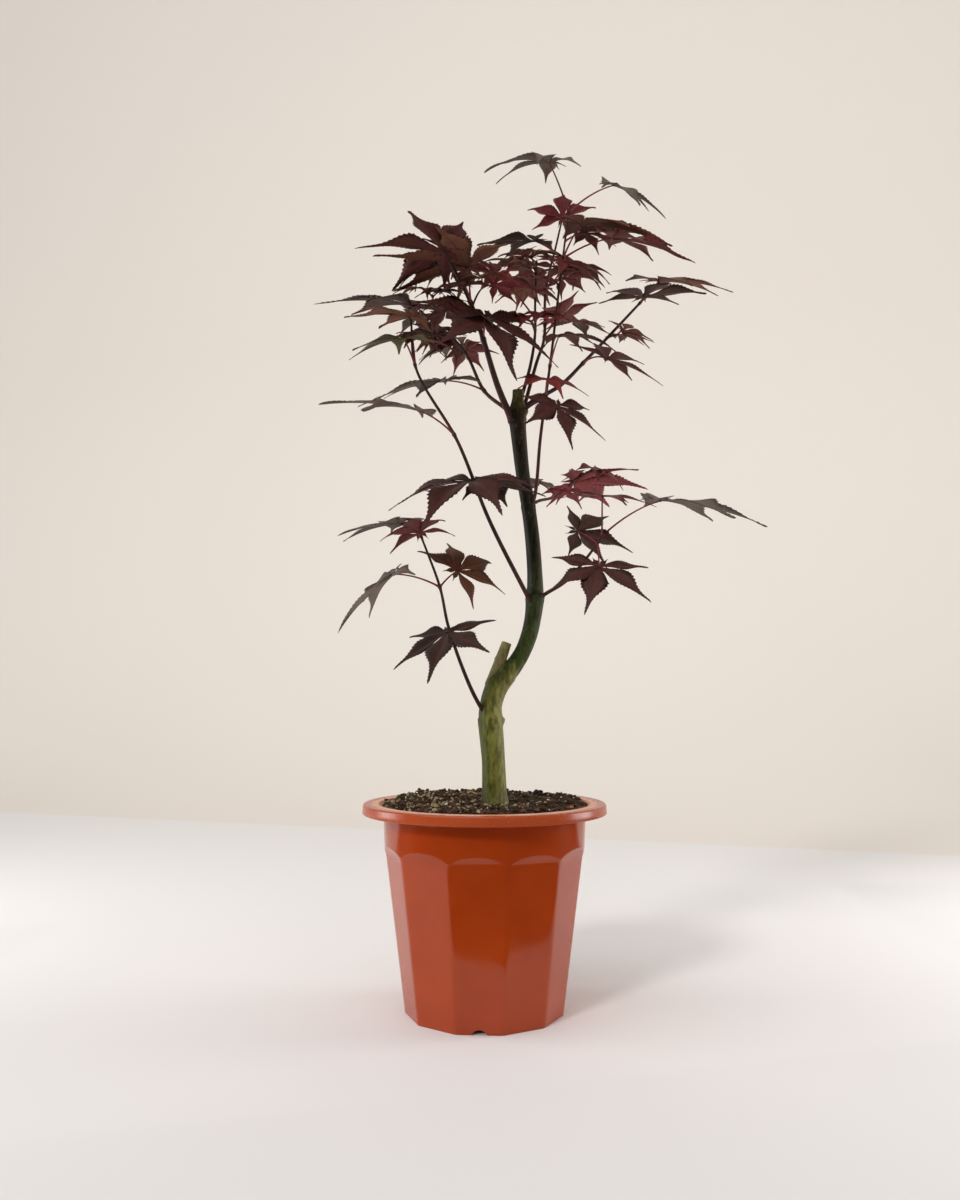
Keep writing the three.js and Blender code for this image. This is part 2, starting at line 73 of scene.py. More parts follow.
def skin(grids, starts, ends, finish=0):
    """Faces over stacks of rings. A quad joins point j of ring i to point j + 1 and to ring i + 1,
    the last point joins the first, and a fan of triangles closes each end on its own point.
    Faces point out where the rings turn anticlockwise about the way they are stacked."""
    count, rows, columns = grids.shape[:3]
    index = np.arange(count * rows * columns).reshape(count, rows, columns)
    following = np.roll(index, -1, axis=2)
    quads = np.stack([index[:, :-1], following[:, :-1], following[:, 1:], index[:, 1:]], axis=-1)
    first = np.broadcast_to((index.size + np.arange(count))[:, None], (count, columns))
    fans = np.stack([
        np.stack([first, following[:, 0], index[:, 0]], axis=-1),
        np.stack([first + count, index[:, -1], following[:, -1]], axis=-1)], axis=1)
    finish = np.broadcast_to(finish, (count, rows + 1, columns))
    points = np.concatenate([grids.reshape(-1, 3), starts.reshape(-1, 3), ends.reshape(-1, 3)])
    return points, [
        (quads.reshape(-1, 4), finish[:, 1:-1].ravel()),
        (fans.reshape(-1, 3), finish[:, [0, -1]].ravel())]


def make_piece(name, parts, materials, replaced=(), smooth=True):
    """Joins skins into one object, which rides on the plant and stands for its CAD nodes."""
    points, corners, sizes, finishes, offset = [], [], [], [], 0
    for part_points, faces in parts:
        points.append(part_points)
        for face_corners, finish in faces:
            corners.append((face_corners + offset).ravel())
            sizes.append(np.full(len(face_corners), face_corners.shape[1]))
            finishes.append(finish)
        offset += len(part_points)
    points, corners = np.concatenate(points) * MM, np.concatenate(corners)
    sizes, finishes = np.concatenate(sizes), np.concatenate(finishes)
    mesh = bpy.data.meshes.new(name)
    for material in materials:
        mesh.materials.append(material)
    mesh.vertices.add(len(points))
    mesh.vertices.foreach_set("co", points.ravel().astype(np.float32))
    mesh.loops.add(len(corners))
    mesh.loops.foreach_set("vertex_index", corners.astype(np.int32))
    mesh.polygons.add(len(sizes))
    mesh.polygons.foreach_set("loop_start", (np.cumsum(sizes) - sizes).astype(np.int32))
    mesh.polygons.foreach_set("material_index", finishes.astype(np.int32))
    mesh.polygons.foreach_set("use_smooth", np.full(len(sizes), smooth))
    mesh.update(calc_edges=True)
    piece = bpy.data.objects.new(name, mesh)
    bpy.context.scene.collection.objects.link(piece)
    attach(piece, "root")
    if replaced:
        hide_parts(*replaced)
    print(f"{name}: {int((sizes - 2).sum())} triangles")
    return piece


# %% [markdown]
# Colours and nodes
#
# Colours are written as they look on a screen, so one function turns them into the linear values
# that the renderer works with. One more function adds a node with its settings and links. A
# pattern's scale is given by the size of its grain in millimetres.

# %% Node helpers
def linear(colour):
    """A #rrggbb colour as linear red, green, blue and an alpha of one, by the sRGB curve."""
    shown = np.array([int(colour[i:i + 2], 16) / 255 for i in (1, 3, 5)])
    light = np.where(shown <= 0.04045, shown / 12.92, ((shown + 0.055) / 1.055) ** 2.4)
    return (*[float(v) for v in light], 1.0)


def grain(size):
    """The scale of a texture whose features are this many millimetres apart."""
    return 1000 / size


# %% Nodes and materials
def add_node(material, kind, inputs=None, stops=None, **settings):
    """Adds a node, sets its settings and sockets, and links the sockets that are given another
    node's output. The stops of a colour ramp are (place, colour) pairs."""
    tree = material.node_tree
    node = tree.nodes.new(kind)
    for name, value in settings.items():
        setattr(node, name, value)
    for name, value in (inputs or {}).items():
        if isinstance(value, bpy.types.NodeSocket):
            tree.links.new(value, node.inputs[name])
        else:
            node.inputs[name].default_value = value
    for i, (place, colour) in enumerate(stops or []):
        ramp = node.color_ramp.elements
        stop = ramp[i] if i < 2 else ramp.new(place)
        stop.position, stop.color = place, linear(colour)
    return node


def new_material(name, **sockets):
    """A material with a Principled shader. Each socket given by name is set to its value."""
    material = bpy.data.materials.new(name)
    material.use_nodes = True
    shader = material.node_tree.nodes["Principled BSDF"]
    for socket, value in sockets.items():
        shader.inputs[socket.replace("_", " ")].default_value = value
    place = add_node(material, "ShaderNodeTexCoord").outputs["Object"]
    return material, shader, place


def link(material, output, socket):
    """Joins one node's output to a socket of another."""
    material.node_tree.links.new(output, socket)


# %% [markdown]
# Camera and floor
#
# The camera stands 90 cm in front of the pot's axis, a little above the rim, and looks level. Its
# shift moves the frame up to the crown, which keeps upright lines upright. The floor is pale and
# plain. Behind it a wall of nearly the same tone rises in a wide curve, so no view from behind is
# blocked.

# %% Camera
CAMERA_PLACE = (0, -0.900, 0.275)  # metres
FOCAL_LENGTH, SENSOR_WIDTH = 31.24, 36  # mm
FRAME_SHIFT = (-0.0038, 0.0769)  # to the right and up, in shares of the frame's longer side

camera_data = bpy.data.cameras.new("camera")
camera_data.lens, camera_data.sensor_width = FOCAL_LENGTH, SENSOR_WIDTH
camera_data.shift_x, camera_data.shift_y = FRAME_SHIFT
camera = bpy.data.objects.new("camera", camera_data)
camera.location = CAMERA_PLACE
camera.rotation_euler = (math.pi / 2, 0, 0)
bpy.context.scene.collection.objects.link(camera)
bpy.context.scene.camera = camera
print("camera at", CAMERA_PLACE, "with a lens of", FOCAL_LENGTH, "mm")

# %% Floor and wall
WALL_LINE = np.array([[-1113.0, 1492.0], [799.0, 850.0]])  # two points of the wall's foot
WALL_CURVE, WALL_STRAIGHT = 1600, 3000  # radius of the bend, and the height of wall above it
STAGE_HALF, FLOOR_DEPTH = 5000, 6000  # half the width, and how far the floor comes forward


def sheet_of_rows(name, rows, material):
    """A plain open grid: each row of points is joined to the next by quads."""
    count, columns = rows.shape[:2]
    index = np.arange(count * columns).reshape(count, columns)
    quads = np.stack([index[:-1, :-1], index[:-1, 1:], index[1:, 1:], index[1:, :-1]], axis=-1)
    mesh = bpy.data.meshes.new(name)
    mesh.from_pydata((rows.reshape(-1, 3) * MM).tolist(), [], quads.reshape(-1, 4).tolist())
    mesh.polygons.foreach_set("use_smooth", np.ones(len(mesh.polygons), bool))
    mesh.materials.append(material)
    stage = bpy.data.objects.new(name, mesh)
    bpy.context.scene.collection.objects.link(stage)
    return stage


along_wall = unit(WALL_LINE[1] - WALL_LINE[0])
towards_wall = np.array([-along_wall[1], along_wall[0]])
wall_middle = WALL_LINE[0] + along_wall * ((-WALL_LINE[0]) @ along_wall)
wall_bend = np.linspace(0, math.pi / 2, 40)
wall_out = np.concatenate([WALL_CURVE * np.sin(wall_bend), [WALL_CURVE]])
wall_up = np.concatenate([WALL_CURVE * (1 - np.cos(wall_bend)), [WALL_CURVE + WALL_STRAIGHT]])


def stage_rows(out, up):
    """Rows along the wall's foot, each `out` behind it and `up` above the floor."""
    ends = wall_middle + np.array([[-STAGE_HALF], [STAGE_HALF]]) * along_wall
    flat = ends[None] + out[:, None, None] * towards_wall
    return np.concatenate([flat, np.broadcast_to(up[:, None, None], (len(up), 2, 1))], axis=2)


floor_paper, _, _ = new_material("floor_paper", Base_Color=linear("#eeeae8"), Roughness=0.8)
wall_paper, _, _ = new_material("wall_paper", Base_Color=linear("#ece4db"), Roughness=0.85)
sheet_of_rows("floor", stage_rows(np.array([-FLOOR_DEPTH, 0.0]), np.zeros(2)), floor_paper)
sheet_of_rows("wall", stage_rows(wall_out, wall_up), wall_paper)
print("the wall bends up from", round(float(towards_wall @ wall_middle)), "mm behind the pot")

# %% [markdown]
# A glossy pot shows its surroundings: its lower part mirrors a pale floor, and its upper part
# mirrors something dark, so the facets keep their deep colour. Black cards do that here, as a
# photographer's would: they lie and stand in front of the pot and at both sides. Only mirrored
# rays meet them: they throw no shadow and no camera sees them.

# %% Black cards
CARD_NEAR, CARD_SLANT = -182.0, 0.28  # the front card's edge, which is nearer on the right
CARD_SIDE, CARD_BACKS = 500.0, {-1: 330.0, 1: 600.0}  # the side cards' edges, and their back ends
CARD_FAR, CARD_TALL = 2600.0, 1900.0
FRONT_RISE, SIDE_RISE = 1.0, 1.5  # the cards lie this far above the floor, and one over the other

black_felt, _, _ = new_material("black_felt", Base_Color=linear("#0c0a09"), Roughness=0.95)
card_rows = {"front": [
    [[side * CARD_FAR, CARD_NEAR + side * CARD_FAR * CARD_SLANT, FRONT_RISE] for side in (-1, 1)],
    [[side * CARD_FAR, -CARD_FAR, FRONT_RISE] for side in (-1, 1)],
    [[side * CARD_FAR, -CARD_FAR, CARD_TALL] for side in (-1, 1)]]}
for side, back in CARD_BACKS.items():
    card_rows["left" if side < 0 else "right"] = [
        [[side * out, y, up] for y in (-CARD_FAR, back)]
        for out, up in ((CARD_SIDE, SIDE_RISE), (CARD_FAR, SIDE_RISE), (CARD_FAR, CARD_TALL))]
for name, rows in card_rows.items():
    card = sheet_of_rows("black_card_" + name, np.array(rows), black_felt)
    card.visible_camera = card.visible_diffuse = card.visible_shadow = False
    card.visible_transmission = False
print("black cards:", ", ".join(card_rows))

# %% [markdown]
# The light is that of a bright, soft room. A wide sun from the upper left in front shapes the
# leaves and the trunk, a box at each side draws a pale streak on the pot, and one large lamp
# overhead keeps the wall even. The world's pale grey fills the shadows.

# %% Lights
def hang(name, kind, place, aim, energy, colour, **shape):
    """A lamp of a kind at a place in metres that faces the aim."""
    lamp_data = bpy.data.lights.new(name, kind)
    lamp_data.energy, lamp_data.color = energy, linear(colour)[:3]
    for setting, value in shape.items():
        setattr(lamp_data, setting, value)
    lamp = bpy.data.objects.new(name, lamp_data)
    lamp.location = place
    lamp.rotation_euler = (Vector(aim) - Vector(place)).to_track_quat("-Z", "Y").to_euler()
    bpy.context.scene.collection.objects.link(lamp)
    return lamp


SUN_SPREAD = math.radians(11)  # how wide the sun looks, which softens its shadows
SIDE_BOX = {"shape": "RECTANGLE", "size": 0.5, "size_y": 0.6}  # metres
WORLD_STRENGTH = 0.38

sun = hang("key_lamp", "SUN", (-1.3, -1.9, 1.5), (0, 0, 0.2), 1.25, "#ffffff", angle=SUN_SPREAD)
sun.visible_glossy = False
hang("left_lamp", "AREA", (-1.3, 0.15, 0.35), (0, 0, 0.15), 6, "#ffffff", **SIDE_BOX)
hang("right_lamp", "AREA", (1.15, 0.15, 0.35), (0, 0, 0.15), 6, "#ffffff", **SIDE_BOX)
hang("top_lamp", "AREA", (-0.9, -0.6, 2.7), (-0.6, 2.2, 0.9), 26, "#ffffff",
     shape="RECTANGLE", size=2.6, size_y=2.0)

world = bpy.data.worlds.new("studio")
world.use_nodes = True
background = world.node_tree.nodes["Background"]
background.inputs["Color"].default_value = linear("#f4f3f2")
background.inputs["Strength"].default_value = WORLD_STRENGTH
bpy.context.scene.world = world
bpy.context.scene.view_settings.view_transform = "Standard"

# %% [markdown]
# The pot
#
# A nursery pot is injection moulded from polypropylene. Its lower wall has eleven long flat
# facets, which are scooped out at the top where they run into a round collar, and a wide flat
# rim goes round the mouth. One stack of rings from the middle of the underside, up the outside,
# over the rim and down the inside gives it all. On the facets the radius changes with the angle,
# so the corners and scoops are worked out, not cut, and only the drain slots are cut.

# %% Pot values
# Millimetres and degrees, as in the part's source
POT_HEIGHT = 180
RIM_RADIUS = 105
RIM_DEPTH = 8.5
RIM_EDGE = 2
LIP_RADIUS = 91
COLLAR_RADIUS = 87
COLLAR_TAPER = 6
SHOULDER_RADIUS = 85.8
SHOULDER_HEIGHT = 148
FACET_HEIGHT = 138
FACET_COUNT = 11
FACET_TOP_RADIUS = 85.3
BASE_RADIUS = 68.9
CORNER_ANGLE = 12.7
WALL = 2.5
FLOOR = 6
DRAIN_FACETS = [0, 3, 6, 8]
DRAIN_RADIUS = 7.2
DRAIN_RISE = 4.4
DRAIN_LENGTH = 20
DRAIN_HOLE_RADIUS = 4

FACET_STEP = 360 / FACET_COUNT
FLAT_SHARE = math.cos(math.radians(FACET_STEP / 2))  # flat to corner radius
COLLAR_TOP = POT_HEIGHT - RIM_DEPTH
SCOOP_FOOT, SCOOP_REACH, SCOOP_DEPTH, SCOOP_POWER = 133, 14, 4.4, 2.4  # a facet's curve outwards
CORNER_SOFTNESS, SCOOP_SOFTNESS = 0.55, 0.15
LOW_EDGE, LIP_EDGE = 0.8, 1.1  # radii of the rim's lower edge and of the lip's inner edge
UNDERSIDE = 1.2  # height of the underside's middle above the floor
PLACES_PER_FACET = 26


# %% Pot surface
def soft_minimum(values, softness, axis):
    """-s log(sum(exp(-v / s))): the smallest value, with the corner between two rounded off."""
    return -softness * np.log(np.exp(-values / softness).sum(axis=axis))


def pot_radius(height, angle):
    """Outer radius at a height and an angle from the front. Each facet is a plane, flat / cos of
    the angle from its middle. It leans out with the height, and from the scoop's foot it curves
    out further. The softened minimum of all planes, and then of that and the collar, is the
    wall."""
    flat = FLAT_SHARE * (BASE_RADIUS + (FACET_TOP_RADIUS - BASE_RADIUS) * height / FACET_HEIGHT)
    above = np.clip(height - SCOOP_FOOT, 0, None)
    flat = flat + SCOOP_DEPTH * (above / SCOOP_REACH) ** SCOOP_POWER
    middles = np.radians(CORNER_ANGLE + FACET_STEP * (np.arange(FACET_COUNT) - 0.5))
    facing = np.cos(angle[None, :, None] - middles)
    planes = np.where(facing > 0.5, flat[:, None, None] / np.maximum(facing, 0.5), 1e3)
    collar = COLLAR_RADIUS - COLLAR_TAPER * (1 - height / COLLAR_TOP)
    facets = soft_minimum(planes, CORNER_SOFTNESS, 2)
    collar = np.broadcast_to(collar[:, None], facets.shape)
    return soft_minimum(np.stack([facets, collar]), SCOOP_SOFTNESS, 0)


def corner_arc(corner, radius, start, end, steps=5):
    """Points of an arc about a corner's centre, from one angle in degrees to another."""
    turn = np.radians(np.linspace(start, end, steps))
    return np.stack([corner[0] + radius * np.cos(turn), corner[1] + radius * np.sin(turn)], axis=1)


# %% Pot rings
facet_share = (np.arange(PLACES_PER_FACET) + 0.5) / PLACES_PER_FACET - 0.5
facet_share = facet_share + 0.125 * np.sin(2 * np.pi * facet_share)  # more near the corners
facet_numbers = np.arange(FACET_COUNT)[:, None] - 0.5
pot_angle = np.radians(CORNER_ANGLE + FACET_STEP * (facet_numbers + facet_share)).ravel()
pot_out = np.stack([np.sin(pot_angle), -np.cos(pot_angle)], axis=1)  # angle 0 is the front

wall_heights = np.concatenate([  # closer where the facets curve out
    [0.7, 1.4, 3], np.linspace(8, 126, 24), np.linspace(129, 153, 37), np.linspace(155, 170.2, 6)])
wall_radii = pot_radius(wall_heights, pot_angle)
foot = pot_radius(np.array([0.0]), pot_angle)
round_profile = np.concatenate([  # radius and height: under the rim, over it, and down the inside
    [[COLLAR_RADIUS + 0.35, COLLAR_TOP - 0.35], [COLLAR_RADIUS + 1.3, COLLAR_TOP]],
    [[95, COLLAR_TOP + 0.1]],
    corner_arc((RIM_RADIUS - LOW_EDGE, COLLAR_TOP + LOW_EDGE), LOW_EDGE, -90, -8),
    [[RIM_RADIUS - 0.3, COLLAR_TOP + 4]],
    corner_arc((RIM_RADIUS - 0.5 - RIM_EDGE, POT_HEIGHT - RIM_EDGE), RIM_EDGE, 0, 90, 8),
    [[101, POT_HEIGHT - 0.25], [97, POT_HEIGHT - 0.3], [94, POT_HEIGHT - 0.25]],
    corner_arc((LIP_RADIUS + 0.7, POT_HEIGHT - LIP_EDGE), LIP_EDGE, 90, 190, 6),
    [[88, 176], [COLLAR_RADIUS - WALL, COLLAR_TOP], [SHOULDER_RADIUS - WALL, SHOULDER_HEIGHT]],
    [[FLAT_SHARE * FACET_TOP_RADIUS - WALL, FACET_HEIGHT]],
    [[FLAT_SHARE * BASE_RADIUS - WALL + 0.75, FLOOR + 2]],
    [[FLAT_SHARE * BASE_RADIUS - WALL, FLOOR], [30, FLOOR], [8, FLOOR]]])


def turned(radii, heights):
    """Rings about the pot's axis, one row of radii and one height each."""
    flat = radii[..., None] * pot_out
    tall = np.broadcast_to(heights[:, None, None], (*flat.shape[:2], 1))
    return np.concatenate([flat, tall], axis=2)


def even(radii):
    """The same radius all the way round, for each ring."""
    return np.repeat(np.asarray(radii, float)[:, None], len(pot_angle), axis=1)


foot_rings = np.concatenate([
    turned(even([8, 30, 60]), np.full(3, UNDERSIDE)),
    turned(foot * 0.965, np.array([1.0])), turned(foot * 0.972, np.array([0.0])),
    turned(foot - 0.5, np.array([0.0])), turned(foot - 0.12, np.array([0.25]))])
pot_rings = np.concatenate([
    foot_rings, turned(wall_radii, wall_heights),
    turned(even(round_profile[:, 0]), round_profile[:, 1])])
print("pot rings:", pot_rings.shape)

# %% [markdown]
# Polypropylene, injection moulded and glossy
#
# The mould was polished, so the wall mirrors the floor and the lamps softly. The colour is a deep
# burnt orange that looks pale wherever it is seen at a low angle. Handling left it slightly
# uneven, which a broad noise in the roughness gives, and the moulded skin has a faint orange peel.
# The rim is duller from wear. Its lip is rougher, and it is painted pale: painted light where the
# flat ring catches the lamps from above.

# %% Pot plastic
def plastic(name, tints, roughness):
    """Moulded polypropylene: two close tints in broad patches, and an uneven gloss."""
    material, shader, place = new_material(name, IOR=1.49)
    patches = add_node(material, "ShaderNodeTexNoise",
                       {"Vector": place, "Scale": grain(45), "Detail": 3.0})
    tint = add_node(material, "ShaderNodeValToRGB", {"Fac": patches.outputs["Fac"]},
                    stops=[(0.35, tints[0]), (0.7, tints[1])])
    smears = add_node(material, "ShaderNodeTexNoise",
                      {"Vector": place, "Scale": grain(14), "Detail": 5.0, "Roughness": 0.6})
    gloss = add_node(material, "ShaderNodeMapRange",
                     {"Value": smears.outputs["Fac"], "From Min": 0.3, "From Max": 0.75,
                      "To Min": roughness[0], "To Max": roughness[1]})
    peel = add_node(material, "ShaderNodeTexNoise",
                    {"Vector": place, "Scale": grain(2.2), "Detail": 2.0})
    bump = add_node(material, "ShaderNodeBump",
                    {"Height": peel.outputs["Fac"], "Strength": 0.08, "Distance": 0.0002})
    link(material, tint.outputs["Color"], shader.inputs["Base Color"])
    link(material, gloss.outputs["Result"], shader.inputs["Roughness"])
    link(material, bump.outputs["Normal"], shader.inputs["Normal"])
    return material


wall_plastic = plastic("polypropylene_polished", ("#993507", "#a33b09"), (0.1, 0.18))
rim_plastic = plastic("polypropylene_worn_rim", ("#a24019", "#ab4922"), (0.24, 0.32))
# The lip's pale tints are painted light, where the flat ring catches the light from above
painted_light_lip_plastic = plastic("polypropylene_lip_painted_light", ("#db8f6c", "#e59f7e"), (0.36, 0.48))

# %% Pot piece
RIM_FROM, LIP_FROM, LIP_TO = 7, 19, 27  # points of the round profile where the finish changes
round_first = len(foot_rings) + len(wall_heights)
pot_finish = np.zeros((1, len(pot_rings) + 1, 1), int)
pot_finish[:, round_first + RIM_FROM:round_first + LIP_TO] = 1
# The lip's faces take the pale tints, which are painted light
pot_finish[:, round_first + LIP_FROM:round_first + LIP_TO] = 2
print("lip painted light between the radii", round_profile[[LIP_FROM - 1, LIP_TO - 1], 0])
pot_shell = make_piece(
    "pot_shell",
    [skin(pot_rings[None], np.array([[0, 0, UNDERSIDE]]), np.array([[0, 0, FLOOR]]), pot_finish)],
    [wall_plastic, rim_plastic, painted_light_lip_plastic], ["pot"])

# %% [markdown]
# The drain slots are arches under the wall. A Boolean modifier cuts them, because their edges
# cross the rings at every angle. The cutters are numpy skins too, and they go once it is applied.

# %% Drain slots
CUT_PAST, CUT_HALF = 4, 12  # how far a slot's cutter passes the wall, and half a hole cutter


def rod(start, end, radius, sides=32):
    """A straight round bar from one point to another."""
    path = np.array([start, end], float)
    direction = unit(path[1] - path[0])
    across = unit(np.cross(direction, [0, 0, 1.0] if abs(direction[2]) < 0.9 else [0, 1.0, 0]))
    turn = 2 * np.pi * np.arange(sides) / sides
    ring = radius * (np.cos(turn)[:, None] * across
                     + np.sin(turn)[:, None] * np.cross(direction, across))
    return skin(path[None, :, None] + ring[None, None], path[:1], path[1:])


for facet in DRAIN_FACETS:
    angle = math.radians(CORNER_ANGLE + FACET_STEP * (facet - 0.5))
    out = np.array([math.sin(angle), -math.cos(angle), 0])
    reach = BASE_RADIUS + CUT_PAST
    slot_low = np.array([0, 0, DRAIN_RISE - DRAIN_RADIUS])
    inner = (reach - DRAIN_LENGTH + DRAIN_HOLE_RADIUS) * out
    for points, skins in (
            rod(out * (reach - DRAIN_LENGTH) + slot_low, out * reach + slot_low, DRAIN_RADIUS),
            rod(inner - [0, 0, CUT_HALF], inner + [0, 0, CUT_HALF], DRAIN_HOLE_RADIUS)):
        cutter_mesh = bpy.data.meshes.new("cutter")
        faces = [face for corners, _ in skins for face in corners.tolist()]
        cutter_mesh.from_pydata((points * MM).tolist(), [], faces)
        cutter = bpy.data.objects.new("cutter", cutter_mesh)
        bpy.context.scene.collection.objects.link(cutter)
        cut = pot_shell.modifiers.new("drain", "BOOLEAN")
        cut.operation, cut.solver, cut.object = "DIFFERENCE", "EXACT", cutter
        bpy.context.view_layer.objects.active = pot_shell
        bpy.ops.object.modifier_apply(modifier=cut.name)
        bpy.data.objects.remove(cutter)
pot_shell.data.set_sharp_from_angle(angle=math.radians(40))
print("pot_shell after the cuts:", len(pot_shell.data.polygons), "faces")

# %% [markdown]
# The plant's lines
#
# The trunk and each shoot follow a smooth curve through a few named points, and each leaf is one
# row: where it grows, how its stalk reaches out, how long it is and how it lies. These are the
# values of the part's source, and the same rule and the same seeded draws read them here, so the
# fine leaves lie where the solid ones do.

# %% Trunk, stub and knots
TRUNK_LINE = np.array([  # height, place to the right and radius
    [179.4, 8.2, 11.8], [186, 8.2, 10.7], [215, 7.6, 10.1], [233, 6.5, 10.6], [250, 5.2, 10.8],
    [263, 5.7, 9.7], [273, 8.1, 9.6], [281, 12.0, 9.4], [291, 19.6, 8.4], [300, 26.8, 7.1],
    [311, 33.2, 6.6], [325, 38.4, 6.8], [341, 41.8, 6.9], [356, 43.4, 7.9], [366, 43.7, 6.9],
    [380, 43.4, 6.5], [409, 41.2, 6.5], [437, 37.4, 6.3], [464, 32.8, 6.0], [492, 30.0, 6.4],
    [507, 28.8, 6.9], [516, 28.4, 8.0], [523, 28.8, 5.8], [529, 29.1, 4.7], [536, 29.2, 4.5]])
TRUNK_FRONT, TRUNK_BACK = -5, 0  # y at the foot and at the tip
STUB_FROM, STUB_TO, STUB_FOOT, STUB_TIP = (5.8, -3, 280), (19.3, -2, 318), 6.2, 4.2
KNOTS = [  # middle and half sizes
    ([7.5, -14.6, 249], [4.6, 2.2, 4.6]), ([16, -6, 251], [2.6, 3, 4]),
    ([22.5, -8, 514], [4, 4.5, 5]), ([34.5, -5, 518], [4, 4, 4.5])]
print("trunk from", TRUNK_LINE[0, 0], "to", TRUNK_LINE[-1, 0], "mm high")

# %% Shoots and leaves
# A shoot has its line, foot and tip radius, bare share, number of young leaves, seed and leaves.
# A leaf has its place on the shoot, the stalk's reach to the right, to the back and up, the
# blade's length, and its heading, pitch, roll and droop in degrees.
SHOOTS = {
    "low_left": (
        [[5, -6, 248], [-11, -14, 277], [-30, -28, 329], [-37, -36, 362], [-52, -45, 403]],
        1.9, 0.9, 0.47, 0, 11,
        [[0.52, -1, -7, -2, 62, 252, -38, 12, 10], [0.74, -36, -24, 8, 66, 180, -40, -15, 20],
         [0.74, 14, 6, 14, 54, 45, 20, 45, 30], [1.0, -1, -2, 2, 44, 255, 15, 15, 40],
         [1.0, -18, -17, 8, 56, 205, -10, 0, 15]]),
    "mid_left": (
        [[43, -4, 346], [4, -34, 418], [-22, -54, 479], [-55, -64, 535], [-59, -66, 574]],
        2.0, 0.9, 0.4, 0, 12,
        [[0.45, -4, -8, 2, 82, 236, -25, -5, 30], [0.45, 7, 4, 2, 56, 350, -8, 25, 15],
         [0.62, -29, -38, 10, 74, 192, 5, -15, 15], [0.86, -8, -16, 16, 50, 205, -20, -20, 20],
         [0.86, -3, 14, 27, 42, 15, -5, 30, 25], [1.0, 0, -2, 1, 54, 195, 0, -30, 15]]),
    "low_right": (
        [[43, -4, 347], [48, -6, 356], [70, -20, 370], [94, -38, 399], [97, -40, 404]],
        1.8, 1.0, 0.62, 0, 13,
        [[0.92, -1, -22, -22, 58, 258, -45, -8, 12], [0.92, -16, 8, 11, 50, 345, -15, -30, 15],
         [1.0, -1, -10, 31, 48, 290, -12, 0, 20], [1.0, 55, 30, 35, 90, 355, -10, 8, 15]]),
    "back_low": (
        [[37, -3, 434], [46, 6, 441], [61, 30, 449], [79, 60, 465]],
        1.5, 0.9, 0, 1, 14,
        [[1.0, 4, 6, 4, 78, 10, 4, -8, 18], [0.6, -14, 22, 16, 50, 160, 0, 0, 20]]),
    "tall_right": (
        [[37, -3, 426], [43, -6, 443], [48, -6, 494], [57, -6, 562], [65, -6, 630],
         [72, -8, 686]],
        1.6, 0.8, 0.46, 1, 15,
        [[0.5, 6, -20, 18, 50, 5, 0, 15, 35], [0.85, 14, -18, 22, 80, 355, -10, 15, 15],
         [0.85, 39, -34, 3, 68, 350, -15, 15, 15], [0.85, -2, -29, -15, 48, 15, -5, 35, 35],
         [0.85, -24, 6, 18, 62, 165, 0, -15, 15], [1.0, -17, -10, 37, 62, 200, -5, -15, 35],
         [1.0, 41, 20, 33, 58, 0, -25, 25, 20]]),
    "back_left": (
        [[28, -2, 512], [17, 0, 521], [0, 10, 538], [-17, 20, 575], [-34, 24, 594],
         [-56, 26, 613]],
        1.8, 0.9, 0.24, 2, 16,
        [[0.3, -34, 8, 11, 82, 195, -15, -15, 15], [0.6, -3, 26, 15, 42, 165, 20, -35, 40],
         [1.0, -9, -12, 2, 88, 195, 0, -15, 15], [1.0, -4, 2, 4, 42, 0, 5, 15, 20]]),
    "left_leader": (
        [[24, -4, 508], [11, -14, 536], [-1, -26, 571], [-12, -34, 600], [-24, -40, 622],
         [-34, -46, 638]],
        3.0, 1.2, 0.44, 1, 17,
        [[0.48, 2, -18, 12, 80, 300, -50, 0, 15], [0.48, 1, -16, 13, 46, 185, 10, -25, 15],
         [0.69, -2, -4, 28, 78, 203, 4, 5, 15], [1.0, 14, 30, 10, 40, 150, 5, 15, 15],
         [1.0, 1, -14, -7, 76, 190, 5, 8, 20]]),
    "centre": (
        [[29, 0, 520], [40, 6, 560], [44, 8, 587], [44, 6, 612], [45, 2, 646]],
        1.7, 0.8, 0.44, 0, 18,
        [[0.64, -35, -27, 28, 42, 220, 20, -15, 40], [0.78, -2, -14, 2, 40, 250, 5, -20, 35],
         [0.92, -9, -15, 2, 44, 200, 10, -15, 35]]),
    "back_centre": (
        [[32, 3, 514], [46, 24, 567], [54, 44, 596], [56, 52, 644], [65, 54, 682],
         [71, 54, 708]],
        1.8, 0.8, 0.42, 2, 19,
        [[0.46, 14, 5, 18, 42, 290, 20, 15, 15], [0.52, 31, 42, 18, 46, 285, -35, 0, 20],
         [1.0, 0, -10, -4, 44, 265, 15, 0, 40]]),
    "right": (
        [[31, -2, 510], [36, 0, 522], [66, 6, 542], [86, 12, 563], [122, 22, 603],
         [155, 34, 641]],
        2.0, 0.9, 0.36, 0, 20,
        [[0.43, 15, -50, -12, 52, 300, -15, -15, 15], [0.86, 2, -8, 2, 58, 285, -5, 5, 15],
         [1.0, 1, 0, 3, 74, 335, -12, 15, 15]]),
    "front_right": (
        [[30, -4, 514], [37, -8, 519], [51, -25, 523]],
        1.4, 0.9, 0, 0, 21,
        [[1.0, 9, -18, -12, 50, 300, -55, 0, 15], [1.0, 1, -6, 13, 40, 290, -30, 0, 25]]),
}
print(len(SHOOTS), "shoots,", sum(len(shoot[6]) + shoot[4] for shoot in SHOOTS.values()), "leaves")


